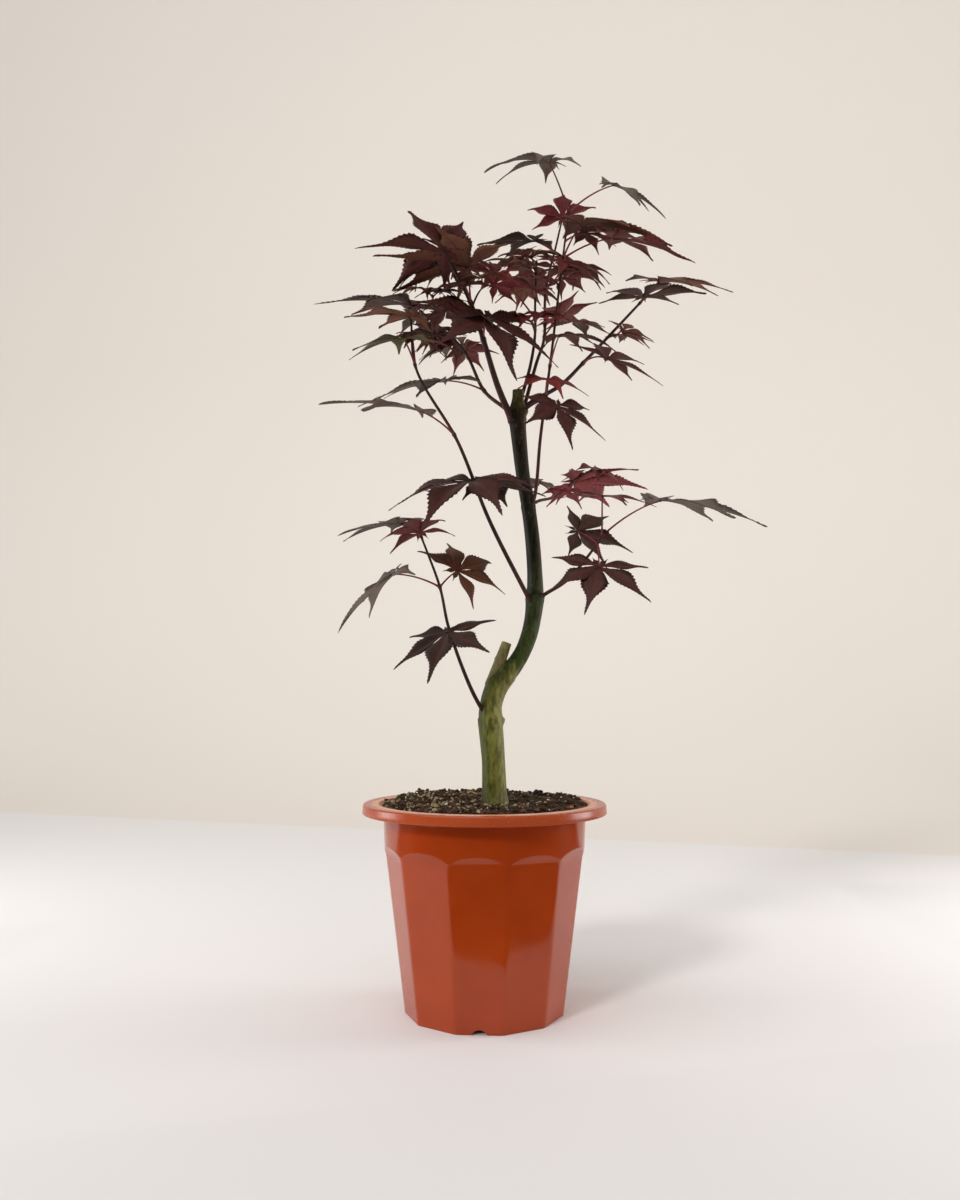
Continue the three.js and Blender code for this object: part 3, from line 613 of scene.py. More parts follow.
# %% Curves and tubes
def smooth_line(points, places):
    """The centripetal Catmull-Rom curve through the points, at places from 0 to 1 spread evenly
    over the points. Each stretch is the cubic whose end slopes come from its neighbours, and the
    square root of the distance between points is the step of the parameter."""
    points = np.asarray(points, float)
    padded = np.concatenate([[2 * points[0] - points[1]], points, [2 * points[-1] - points[-2]]])
    place = np.clip(np.asarray(places, float), 0, 1) * (len(points) - 1)
    low = np.minimum(place.astype(int), len(points) - 2)
    part = (place - low)[:, None]
    p0, p1, p2, p3 = (padded[low + i] for i in range(4))
    d0, d1, d2 = (np.sqrt(np.linalg.norm(b - a, axis=1, keepdims=True))
                  for a, b in ((p0, p1), (p1, p2), (p2, p3)))
    slope1 = d1 * ((p1 - p0) / d0 - (p2 - p0) / (d0 + d1) + (p2 - p1) / d1)
    slope2 = d1 * ((p2 - p1) / d1 - (p3 - p1) / (d1 + d2) + (p3 - p2) / d2)
    square = -3 * p1 + 3 * p2 - 2 * slope1 - slope2
    cube = 2 * p1 - 2 * p2 + slope1 + slope2
    return p1 + part * (slope1 + part * (square + part * cube))


def along(points, shares):
    """Points of the curve at shares of its length."""
    places = np.linspace(0, 1, 401)
    line = smooth_line(points, places)
    length = np.concatenate([[0], np.cumsum(np.linalg.norm(np.diff(line, axis=0), axis=1))])
    return smooth_line(points, np.interp(np.asarray(shares) * length[-1], length, places))


def tube(path, radii, sides, finish=0, front=None):
    """Circles carried along a path. Each ring lies across the path's direction T: its first point
    is towards a fixed axis made square to T, and it turns about T. Radii are one for each ring,
    or one for each point of each ring."""
    forward = unit(np.gradient(path, axis=0))
    axis = np.eye(3)[np.argmin(np.abs(forward).max(axis=0))] if front is None else front
    first = unit(axis - (forward @ axis)[:, None] * forward)
    second = np.cross(forward, first)
    turn = 2 * np.pi * np.arange(sides) / sides
    ring = np.cos(turn)[:, None] * first[:, None] + np.sin(turn)[:, None] * second[:, None]
    radii = radii[:, None] if radii.ndim == 1 else radii
    rings = path[:, None] + radii[..., None] * ring
    return skin(rings[None], path[:1] - forward[:1] * 0.2, path[-1:] + forward[-1:] * 0.2, finish)


# %% [markdown]
# The trunk
#
# Young maple bark is thin and smooth: green below, and dark purple-brown above. What gives it
# life is its history: swollen rings where each year's growth began, the healed scar of a branch
# on the front, a dead stub where the first leader was cut, and shallow vertical fibres. All of it
# is a change of the radius over the height and the angle, so the relief is in the mesh itself.

# %% Bark relief
TRUNK_SIDES, TRUNK_STEPS = 64, 15  # points of a ring, and rings from one point of the line on
RING_SCARS = [(252, 0.5), (291, 0.35), (357, 0.7), (436, 0.45), (511, 0.5)]  # height, rise
SCAR_X, SCAR_HEIGHT, SCAR_RING, SCAR_RISE, SCAR_DENT = 7.3, 249, 3.6, 1.1, 1.8
BULGE_X, BULGE_HEIGHT, BULGE_RISE = 1.5, 283, 1.3  # to the left of the stub's foot
bark_draws = np.random.default_rng(4)


def fibres(height, turn, strength):
    """Vertical ridges: sines of the angle whose phase drifts slowly with the height."""
    total = np.zeros(np.broadcast(height, turn).shape)
    for waves, rise in ((5, 0.5), (8, 0.4), (13, 0.35), (21, 0.25)):
        drift, start = bark_draws.uniform(15, 40), bark_draws.uniform(0, 6)
        total = total + rise * np.sin(waves * turn + start + 1.2 * np.sin(height / drift + start))
    return strength * total


stretches = len(TRUNK_LINE) - 1
trunk_places = np.linspace(0, 1, stretches * TRUNK_STEPS + 1)
trunk_y = np.interp(TRUNK_LINE[:, 0], [TRUNK_LINE[0, 0], TRUNK_LINE[-1, 0]],
                    [TRUNK_FRONT, TRUNK_BACK])
trunk_points = np.stack([TRUNK_LINE[:, 1], trunk_y, TRUNK_LINE[:, 0]], axis=1)
trunk_path = smooth_line(trunk_points, trunk_places)
trunk_radius = np.interp(
    trunk_places * stretches, np.arange(stretches + 1), TRUNK_LINE[:, 2])
kernel = np.hanning(13) / np.hanning(13).sum()
trunk_radius = np.convolve(np.pad(trunk_radius, 6, mode="edge"), kernel, mode="valid")
trunk_path = np.concatenate([
    trunk_path[:1] - [[0, 0, 5]], trunk_path[:1] - [[0, 0, 2]], trunk_path])
trunk_radius = np.concatenate([[13, 12], trunk_radius])  # it widens under the soil's grains

turn = 2 * np.pi * np.arange(TRUNK_SIDES)[None] / TRUNK_SIDES  # from the front to the right
height = trunk_path[:, 2:3]
relief = trunk_radius[:, None] + fibres(height, turn, 0.11)
relief = relief + 0.25 * np.sin(2 * turn + height / 30) + 0.2 * np.sin(3 * turn - height / 21)
# The foot flares out into the starts of three roots
flare = np.exp(-(height - 179) / 7)
relief = relief + flare * (0.8 + 1.3 * np.cos(3 * turn + 0.6) + 0.5 * np.cos(5 * turn))
# A year's ring is a ridge with a dent above it and a softer ridge below
for ring_height, ring_rise in RING_SCARS:
    off = height - ring_height - 0.8 * np.sin(2 * turn + ring_height)
    ridges = (np.exp(-(off / 1.2) ** 2) - 0.5 * np.exp(-((off - 2.6) / 1.4) ** 2)
              + 0.5 * np.exp(-((off + 3.2) / 1.5) ** 2))
    relief = relief + ring_rise * ridges
# Each swelling is a bell about its middle
across = np.stack([np.sin(turn), -np.cos(turn), 0 * turn], axis=-1)
surface = trunk_path[:, None] + relief[..., None] * across
for at, size in KNOTS:
    far = (((surface - at) / (np.array(size) * 1.05)) ** 2).sum(axis=-1)
    relief = relief + 0.8 * min(size[:2]) * np.exp(-far)
# The healed scar is a dent in a raised ring, on the front alone
scar = (np.hypot((surface[..., 0] - SCAR_X), surface[..., 2] - SCAR_HEIGHT)
        + 30 * (surface[..., 1] > -6))
relief = (relief + SCAR_RISE * np.exp(-((scar - SCAR_RING) / 0.9) ** 2)
          - SCAR_DENT * np.exp(-(scar / 2.2) ** 2))
bulge = np.hypot((surface[..., 0] - BULGE_X) / 5, (surface[..., 2] - BULGE_HEIGHT) / 7)
relief = relief + BULGE_RISE * np.exp(-bulge ** 2)
print("trunk radius from", round(float(relief.min()), 1), "to", round(float(relief.max()), 1))

trunk_finish = np.zeros((1, len(trunk_path) + 1, 1), int)
trunk_finish[:, -1] = 1
front_axis = np.array([0, -1.0, 0])
trunk_parts = [tube(trunk_path, relief, TRUNK_SIDES, trunk_finish, front_axis)]

# %% Old stub and cut top
STUB_SIDES = 40
stub_share = np.concatenate([np.linspace(0, 0.97, 60), [0.985, 0.995, 0.998]])
stub_path = np.array(STUB_FROM) + stub_share[:, None] * (np.array(STUB_TO) - np.array(STUB_FROM))
stub_turn = 2 * np.pi * np.arange(STUB_SIDES)[None] / STUB_SIDES
stub_radius = STUB_FOOT + (STUB_TIP - STUB_FOOT) * stub_share[:, None] ** 0.8
stub_radius = stub_radius + fibres(stub_path[:, 2:3], stub_turn, 0.13)
stub_radius = stub_radius + 0.45 * np.exp(-((stub_share[:, None] - 0.6) / 0.04) ** 2)
stub_radius[-2:] *= [[0.9], [0.6]]
stub_finish = np.full((1, len(stub_path) + 1, 1), 2)
stub_finish[:, -3:] = 1
trunk_parts.append(tube(stub_path, stub_radius, STUB_SIDES, stub_finish, front_axis))
print("stub", round(math.dist(STUB_FROM, STUB_TO)), "mm long")

# %% [markdown]
# Bark and weathered wood
#
# Maple bark this young still holds green under a thin skin. The colour changes with the height
# from olive to dark purple-brown, mottled in vertical streaks, with small pale pores across it.
# The left side is painted darker than the right: painted shade on the left and painted light
# from the right. An attribute on the mesh holds how far each point faces that way, because the
# pattern has to follow the trunk round its bends.

# %% Bark materials
BAND_SLOPE = 0.64  # the bands of colour sink by this share of the way to the right
BARK_FROM, BARK_TO = 0.18, 0.54  # metres: the soil and the trunk's tip
bark, shader, place = new_material("maple_bark_smooth", IOR=1.45, Specular_IOR_Level=0.3)
spread = add_node(bark, "ShaderNodeSeparateXYZ", {"Vector": place})
up = add_node(bark, "ShaderNodeMath", {
    0: spread.outputs["X"], 1: BAND_SLOPE, 2: spread.outputs["Z"]}, operation="MULTIPLY_ADD")
streaks = add_node(bark, "ShaderNodeMapping", {"Vector": place, "Scale": (1, 1, 0.28)})
mottle = add_node(bark, "ShaderNodeTexNoise", {
    "Vector": streaks.outputs["Vector"], "Scale": grain(9), "Detail": 6.0, "Roughness": 0.65})
drift = add_node(bark, "ShaderNodeMath", {0: mottle.outputs["Fac"], 1: 0.04, 2: -0.025},
                 operation="MULTIPLY_ADD")
level = add_node(bark, "ShaderNodeMath", {0: up.outputs[0], 1: drift.outputs[0]}, operation="ADD")
climb = add_node(bark, "ShaderNodeMapRange", {
    "Value": level.outputs[0], "From Min": BARK_FROM, "From Max": BARK_TO})
young = add_node(bark, "ShaderNodeValToRGB", {"Fac": climb.outputs["Result"]}, stops=[
    (0.0, "#7f7641"), (1.0, "#7a7041"), (0.07, "#98954c"), (0.325, "#a09b58"), (0.362, "#58642a"),
    (0.5, "#444e29"), (0.7, "#423d2a"), (0.9, "#3e3126"), (0.965, "#483b29")])
# Painted shade on the trunk's left and painted light on its right, read from the attribute below
side_light_attribute = add_node(bark, "ShaderNodeAttribute", attribute_name="painted_side_light")
side_light_tint = add_node(bark, "ShaderNodeValToRGB", {"Fac": side_light_attribute.outputs["Fac"]},
                    stops=[(0.1, "#9ba68b"), (0.5, "#d8dac0"), (0.9, "#fcf7ff")])
bark_with_side_light = add_node(bark, "ShaderNodeMix", {
    0: 1.0, 6: young.outputs["Color"], 7: side_light_tint.outputs["Color"]},
    data_type="RGBA", blend_type="MULTIPLY")
blotches = add_node(bark, "ShaderNodeTexNoise", {
    "Vector": streaks.outputs["Vector"], "Scale": grain(3.2), "Detail": 5.0, "Roughness": 0.7})
shade = add_node(bark, "ShaderNodeValToRGB", {"Fac": blotches.outputs["Fac"]},
                 stops=[(0.38, "#5b6240"), (0.62, "#ffffff")])
tinted = add_node(bark, "ShaderNodeMix", {
    0: 0.75, 6: bark_with_side_light.outputs[2], 7: shade.outputs["Color"]},
    data_type="RGBA", blend_type="MULTIPLY")
pores = add_node(bark, "ShaderNodeTexVoronoi", {"Vector": place, "Scale": grain(5)})
pore = add_node(bark, "ShaderNodeMapRange", {
    "Value": pores.outputs["Distance"], "From Min": 0.1, "From Max": 0.16, "To Min": 0.25,
    "To Max": 0.0})
coloured = add_node(bark, "ShaderNodeMix", {
    0: pore.outputs["Result"], 6: tinted.outputs[2], 7: linear("#8d8768")}, data_type="RGBA")
roughness = add_node(bark, "ShaderNodeMapRange", {
    "Value": blotches.outputs["Fac"], "From Min": 0.3, "From Max": 0.7, "To Min": 0.42,
    "To Max": 0.72})
bump = add_node(bark, "ShaderNodeBump", {
    "Height": blotches.outputs["Fac"], "Strength": 0.5, "Distance": 0.0006})
link(bark, coloured.outputs[2], shader.inputs["Base Color"])
link(bark, roughness.outputs["Result"], shader.inputs["Roughness"])
link(bark, bump.outputs["Normal"], shader.inputs["Normal"])


def mottled(name, tints, size, roughness, relief, streak=(1, 1, 1), gloss=0.5):
    """Two close tints in a noise of that grain in millimetres, with its bump of that height."""
    material, shader, place = new_material(name, Specular_IOR_Level=gloss)
    drawn = add_node(material, "ShaderNodeMapping", {"Vector": place, "Scale": streak})
    noise = add_node(material, "ShaderNodeTexNoise", {
        "Vector": drawn.outputs["Vector"], "Scale": grain(size), "Detail": 6.0,
        "Roughness": 0.62})
    tint = add_node(material, "ShaderNodeValToRGB", {"Fac": noise.outputs["Fac"]},
                    stops=[(0.36, tints[0]), (0.66, tints[1])])
    rough = add_node(material, "ShaderNodeMapRange", {
        "Value": noise.outputs["Fac"], "From Min": 0.3, "From Max": 0.7,
        "To Min": roughness[0], "To Max": roughness[1]})
    bump = add_node(material, "ShaderNodeBump", {
        "Height": noise.outputs["Fac"], "Strength": 0.6, "Distance": relief * MM})
    link(material, tint.outputs["Color"], shader.inputs["Base Color"])
    link(material, rough.outputs["Result"], shader.inputs["Roughness"])
    link(material, bump.outputs["Normal"], shader.inputs["Normal"])
    return material


cut_wood = mottled("cut_wood_weathered", ("#4f4738", "#8b7f68"), 1.6, (0.7, 0.9), 0.4)
dead_bark = mottled("dead_stub_bark", ("#6a6238", "#8c8454"), 2.5, (0.55, 0.75), 0.3,
                    (1, 1, 0.35), gloss=0.3)
trunk_bark = make_piece(
    "trunk_bark", trunk_parts, [bark, cut_wood, dead_bark], ["trunk"])

# %% Painted side light
# 0 at the trunk's left edge and 1 at its right, measured across from the trunk's line: how much
# painted light the bark takes, with painted shade on the left
bark_points = np.empty(3 * len(trunk_bark.data.vertices), np.float32)
trunk_bark.data.vertices.foreach_get("co", bark_points)
bark_x, _, bark_z = bark_points.reshape(-1, 3).T / MM
middle_x = np.interp(bark_z, trunk_path[:, 2], trunk_path[:, 0])
middle_radius = np.interp(bark_z, trunk_path[:, 2], trunk_radius)
side_light_level = np.clip(0.5 + 0.5 * (bark_x - middle_x) / middle_radius, 0, 1)
painted_side_light = trunk_bark.data.attributes.new("painted_side_light", "FLOAT", "POINT")
painted_side_light.data.foreach_set("value", side_light_level.astype(np.float32))
print("painted_side_light from", round(float(side_light_level.min()), 2), "to", round(float(side_light_level.max()), 2))

# %% [markdown]
# Leaves
#
# A Japanese maple leaf is palmate: five long lobes and two tiny ones fan out from the stalk's
# end. Each lobe is a long oval with a drawn-out tip, a toothed edge, a fold along its midrib and
# raised side veins. Here a lobe is one grid: rows go from the hub to the tip, and each row is a
# flat closed ring across it. Every second row's edge points are pushed out and forwards, which
# makes the teeth. Near the hub a lobe is only as wide as half the gap to the next, so the lobes
# meet in a palm. All lobes of a spray are worked out in one array.

# %% Leaf rule
LOBES = [(-103, 0.72), (-52, 0.95), (0, 1), (52, 0.95), (103, 0.72)]  # angle, share of length
BASAL_LOBES = [(-150, 0.24), (150, 0.24)]
ANGLE_JITTER, LENGTH_JITTER = 4, 0.07
PETIOLE_BOW = 0.12
YOUNG_PETIOLE, YOUNG_BLADE, YOUNG_SWING = (12, 20), (28, 40), 70

LOBE_ROWS, LAST_ROW = 38, 0.978  # the last row stands just short of the tip
# Shares of a lobe's length: least and greatest half width, and where it may be widest
LOBE_HALF_WIDTH, LOBE_PEAK = (0.15, 0.205), (0.38, 0.47)
BELL_SPREAD = (0.27, 0.2)  # below and above the widest row
TAIL_WIDTH, PALM_WEDGE = 0.06, 0.49  # the drawn-out tip, and half the gap between two lobes
TOOTH, TOOTH_LEAN, TOOTHED = 0.013, 0.62, (0.15, 0.93)  # size, lean in rows, first and last place
FOLD, QUILT = 0.22, 0.0032  # rise of the edge for each unit of width, and of the side veins
BLADE_THICKNESS, RIB_DEPTH = 0.35, 0.9  # mm
LIFT, TURN = 0.3, 1.3  # shares of the droop: the slope up at the hub, and the turn to the tip
# Places across a lobe, with the edges at 1 and -1: over the top to the left, and back below
EDGE, VEIN, MIDDLE = 1, 0.52, 0.05
ACROSS = np.array([
    EDGE, VEIN, MIDDLE, -MIDDLE, -VEIN, -EDGE, -VEIN, -MIDDLE, MIDDLE, VEIN])
LAYER = np.array([0, 1, 1, 1, 1, 0, -1, -1, -1, -1])
# The faces from the sixth on are below. The third and the eighth lie along the midrib
FACE_BELOW = np.arange(len(ACROSS)) >= 5
FACE_RIB = np.isin(np.arange(len(ACROSS)), (2, 7))


# %% Draws and directions
def seeded(seed):
    """The repeatable stream of numbers between 0 and 1 of the part's source."""
    state = seed
    while True:
        state = (state * 1664525 + 1013904223) % 2 ** 32
        yield state / 2 ** 32


def mix(low, high, share):
    """The value that lies that share of the way from low to high."""
    return low + (high - low) * share


def leaf_axes(facing, pitch, roll):
    """A leaf's forward, side and up directions from its heading, pitch and roll in degrees."""
    h, p, r = np.radians([facing, pitch, roll])
    forward = np.array([np.cos(h) * np.cos(p), np.sin(h) * np.cos(p), np.sin(p)])
    level = np.array([-np.sin(h), np.cos(h), 0])
    lift = np.cross(forward, level)
    return (forward, level * np.cos(r) + lift * np.sin(r), lift * np.cos(r) - level * np.sin(r))


# %% Lobes as grids
def lobe_grids(lobes, rng):
    """Rings of many lobes, from rows of base, direction, across, up, length and droop.
    The midline's slope a turns evenly with the share s of the length, from a0 = -LIFT droop by
    TURN droop, so it runs (sin a - sin a0) / (TURN droop) along and (cos a0 - cos a) / (TURN
    droop) down. The half width is a bell, exp(-((s - peak) / spread)^2), with a narrow tail to
    the tip, and it is no wider than the palm's wedge near the hub."""
    base, direction, across, up = (lobes[:, i:i + 3] for i in (0, 3, 6, 9))
    length, droop = lobes[:, 12], np.radians(lobes[:, 13])
    row = np.arange(LOBE_ROWS)
    s = np.linspace(0, LAST_ROW, LOBE_ROWS)
    count = len(lobes)
    # The outline: half widths, and the teeth of every second row
    width, peak = (rng.uniform(*limits, (count, 1)) for limits in (LOBE_HALF_WIDTH, LOBE_PEAK))
    bell = np.exp(-((s - peak) / np.where(s < peak, *BELL_SPREAD)) ** 2)
    half = width * bell + TAIL_WIDTH * np.sqrt(1 - s) * np.clip(s / 0.5, 0.3, 1) * (1 - bell)
    half = np.minimum(half, PALM_WEDGE * s + 0.005)
    toothed = (s > TOOTHED[0]) & (s < TOOTHED[1])
    jag = rng.uniform(0.5, 1.6, (count, LOBE_ROWS))
    tooth = TOOTH * jag * (0.5 + bell) * np.where(toothed, row % 2 - 0.45, 0)
    lean = np.where(toothed, (row % 2) * TOOTH_LEAN / LOBE_ROWS, 0)
    edge = (np.abs(ACROSS) == EDGE)
    x = ACROSS * half[..., None] + np.sign(ACROSS) * edge * tooth[..., None]
    place = (s[:, None] + edge * lean[:, None])[None]
    # The blade: its fold, raised side veins and wavy edge, and the rib below
    phase, twist, bend, wave = (
        rng.uniform(*limits, (count, 1, 1)) for limits in
        ((0, 2 * np.pi), (-0.35, 0.35), (-0.07, 0.07), (0.006, 0.022)))
    quilt = QUILT * (1 - 2 * (row[:, None] % 2)) * (np.abs(ACROSS) == VEIN) * toothed[:, None]
    z = FOLD * np.abs(x) + quilt + wave * np.sin(9 * place + phase) * edge
    rib = RIB_DEPTH * np.clip(1.1 - place, 0.1, 1) * (np.abs(ACROSS) == MIDDLE) * (LAYER < 0)
    z = z + (LAYER * BLADE_THICKNESS / 2 - 0.5 * rib) / length[:, None, None]
    # It twists along its length, bends to one side and droops
    angle = twist * place
    x, z = x * np.cos(angle) - z * np.sin(angle), x * np.sin(angle) + z * np.cos(angle)
    x = x + bend * place ** 2
    droop = droop[:, None, None]
    a, a0 = droop * (TURN * place - LIFT), -LIFT * droop
    out = (np.sin(a) - np.sin(a0)) / (TURN * droop) + z * np.sin(a)
    rise = (np.cos(a) - np.cos(a0)) / (TURN * droop) + z * np.cos(a)
    scale = length[:, None, None, None]
    grids = base[:, None, None] + scale * (
        out[..., None] * direction[:, None, None] + x[..., None] * across[:, None, None]
        + rise[..., None] * up[:, None, None])
    droop, a0 = droop[:, 0], a0[:, 0]
    tip = base + length[:, None] * (
        (np.sin(droop) - np.sin(a0)) / (TURN * droop) * direction + bend[:, 0] * across
        + (np.cos(droop) - np.cos(a0)) / (TURN * droop) * up)
    return grids, base, tip


print("a lobe has", LOBE_ROWS, "rows of", len(ACROSS), "points")

# %% [markdown]
# Leaf skin and young wood
#
# A purple maple leaf is thin and waxy: matt and paler below, and with a soft gloss above that
# turns pale where it mirrors the light. A noise mixes two close tones for the top and two for the
# underside, because no leaf has one colour. The tints go from dark umber to crimson and are dealt
# out by spray. The stalks are the reddest, and the young shoots are a dark red-brown.

# %% Leaf materials
LEAF_TINTS = {
    "maroon": ("#3b1f1a", "#4f2b24", "#4d2925", "#60352f"),
    "wine": ("#54241f", "#6b322c", "#62302c", "#773f39"),
    "bronze": ("#54301e", "#6b4129", "#603828", "#754b38"),
    "olive": ("#403a22", "#544d2f", "#4c4632", "#5e5841"),
    "slate": ("#53453b", "#69594d", "#5b4e46", "#6f6158"),
    "crimson": ("#68231f", "#873431", "#702b2e", "#8a3c3c"),
    "umber": ("#322019", "#442e24", "#3f2b23", "#523a31")}
leaf_tops = {tint: mottled(f"leaf_{tint}", tones[:2], 3.5, (0.42, 0.58), 0.12, gloss=0.3)
             for tint, tones in LEAF_TINTS.items()}
leaf_unders = {tint: mottled(f"leaf_{tint}_under", tones[2:], 3.5, (0.6, 0.75), 0.1, gloss=0.2)
               for tint, tones in LEAF_TINTS.items()}
leaf_rib = mottled("leaf_midrib", ("#521f20", "#6a2f2f"), 2, (0.5, 0.65), 0.1, gloss=0.2)
shoot_bark = mottled("shoot_bark_young", ("#35211e", "#54302b"), 2.5, (0.5, 0.7), 0.3,
                     (1, 1, 0.4), gloss=0.3)
petiole_skin = mottled("petiole_red", ("#6c262a", "#8e3c3f"), 1.5, (0.45, 0.6), 0.1, gloss=0.3)

SPRAY_TINTS = {  # tints of each spray's leaves, in turn
    "low_left": ("umber", "slate", "bronze", "wine", "slate"),
    "mid_left": ("maroon", "umber", "slate", "olive", "wine", "bronze"),
    "low_right": ("maroon", "umber", "wine", "slate"), "back_low": ("crimson", "slate"),
    "tall_right": ("maroon", "bronze", "wine", "wine", "umber", "slate", "slate"),
    "back_left": ("slate", "bronze", "umber", "wine"),
    "left_leader": ("maroon", "umber", "bronze", "crimson", "maroon"),
    "centre": ("crimson", "wine", "bronze"), "back_centre": ("wine", "bronze", "crimson"),
    "right": ("maroon", "umber", "bronze"), "front_right": ("maroon", "crimson")}
print(len(LEAF_TINTS), "tints for", len(SPRAY_TINTS), "sprays")

# %% [markdown]
# Growing the sprays
#
# Each shoot grows as in the part's source: one tapering stem, with leaves in the named rows and
# a few young ones by the seeded rule. It then goes on to finer twigs: short side shoots leave
# the stem, each with a pair of small leaves, and every one of them stays within the reach of
# the mass of leaves that it belongs to.

# %% Stalks and buds
wood_parts, petiole_parts = [], []


def stalk(start, reach):
    """A leaf stalk: a quadratic curve from its node, bowed up by a share of its reach, a little
    thicker where it is joined to the twig."""
    s = np.concatenate([[0, 0.03, 0.07], np.linspace(0.13, 1, 9)])
    middle = start + reach / 2 + np.array([0, 0, PETIOLE_BOW * np.linalg.norm(reach)])
    path = (((1 - s) ** 2)[:, None] * start + (2 * s * (1 - s))[:, None] * middle
            + (s ** 2)[:, None] * (start + reach))
    radii = mix(0.85, 0.55, s) + 0.6 * np.exp(-s / 0.05)
    return tube(path, radii, 7)


def bud(at, direction, size=4.2):
    """A pointed bud: the radius swells as the sine of the share's square root, and falls off."""
    s = np.linspace(0, 1, 9)
    return tube(at + s[:, None] * size * direction,
                0.05 + 0.34 * size * np.sin(np.pi * np.sqrt(s)) ** 0.8 * (1 - 0.3 * s), 8)


# %% Lobes of one leaf
def leaf_lobes(base, shape, draws):
    """Rows of the lobes of one leaf, with the source's draws for angle and length."""
    size, facing, pitch, roll, droop = shape
    forward, side, up = leaf_axes(facing, pitch, roll)
    rows = []
    for number, (angle, share) in enumerate(LOBES + BASAL_LOBES):
        if number < len(LOBES):
            angle += ANGLE_JITTER * (2 * next(draws) - 1)
            share *= 1 + LENGTH_JITTER * (2 * next(draws) - 1)
        t = math.radians(angle)
        rows.append(np.concatenate([
            base, forward * math.cos(t) + side * math.sin(t),
            side * math.cos(t) - forward * math.sin(t), up, [size * share, droop]]))
    return rows


# %% Stems and side twigs
TWIG_BOW = 1.8  # mm


def stem(line, foot, tip, nodes):
    """The wood of a shoot: a tapering tube with a bell at its foot and at each node where a leaf
    grows, and a bud at its tip."""
    places = np.linspace(0, 1, 401)
    span = np.linalg.norm(np.diff(smooth_line(line, places), axis=0), axis=1).sum()
    shares = np.linspace(0, 1, int(span / 2) + 8)
    radii = mix(foot, tip, shares) + 1.3 * np.exp(-shares * span / 3.5)
    for node in nodes:
        radii = radii + 0.55 * np.exp(-((shares - node) * span / 1.8) ** 2)
    end = along(line, [0.98, 1.0])
    heading = unit(end[1] - end[0])
    wood_parts.append(tube(along(line, shares), radii, 14))
    wood_parts.append(bud(end[1] - heading * 0.5, heading))


def draw_twig(line, bare, out, rng):
    """A side twig by chance: its start, end and direction, the size of its leaves, and for each
    of the two the stalk's reach, the heading and about where the tip will be."""
    at = rng.uniform(max(bare, 0.3) + 0.06, 0.96)
    facing = out + rng.uniform(-130, 130)
    turn, length = math.radians(facing), rng.uniform(12, 28)
    start = along(line, [at])[0]
    way = unit(np.array([math.cos(turn), math.sin(turn), rng.uniform(0.2, 0.9)]))
    end = start + length * way
    size, swing = rng.uniform(26, 42), rng.uniform(35, 65)
    pair = []
    for sign in (-1, 1):
        leaf_facing = facing + sign * swing
        leaf_turn = math.radians(leaf_facing)
        reach = rng.uniform(7, 13) * np.array(
            [math.cos(leaf_turn), math.sin(leaf_turn), rng.uniform(0.1, 0.5)])
        far = end + reach + 0.9 * size * np.array(
            [math.cos(leaf_turn), math.sin(leaf_turn), -0.3])
        pair.append((reach, leaf_facing, far))
    return start, end, way, size, pair


def add_twig(start, end, way):
    """The wood of a side twig: a thin tube, bowed up as a sine of its share, and its bud."""
    s = np.linspace(0, 1, 12)
    path = start + s[:, None] * (end - start)
    path[:, 2] += TWIG_BOW * np.sin(np.pi * s)
    wood_parts.append(tube(path, mix(0.95, 0.6, s) + 0.6 * np.exp(-s / 0.06), 9))
    wood_parts.append(bud(end, way, 3.2))


# %% One spray
FINE_TWIGS = {  # side twigs of each spray
    "low_left": 0, "mid_left": 0, "low_right": 0, "back_low": 1, "tall_right": 2,
    "back_left": 3, "left_leader": 3, "centre": 3, "back_centre": 3, "right": 1,
    "front_right": 0}
TWIG_TRIES, TWIG_SLACK = 60, 3  # a twig's leaf may pass the mass's box by this many millimetres


def blade_finish(tints, kinds, tint_order):
    """The material of each face: the spray's tints above, then the same below, then the rib."""
    order = np.array([kinds.index(tint) for tint in tint_order])
    finish = order[tints][:, None, None] + len(kinds) * FACE_BELOW
    return np.where(FACE_RIB, 2 * len(kinds), finish)


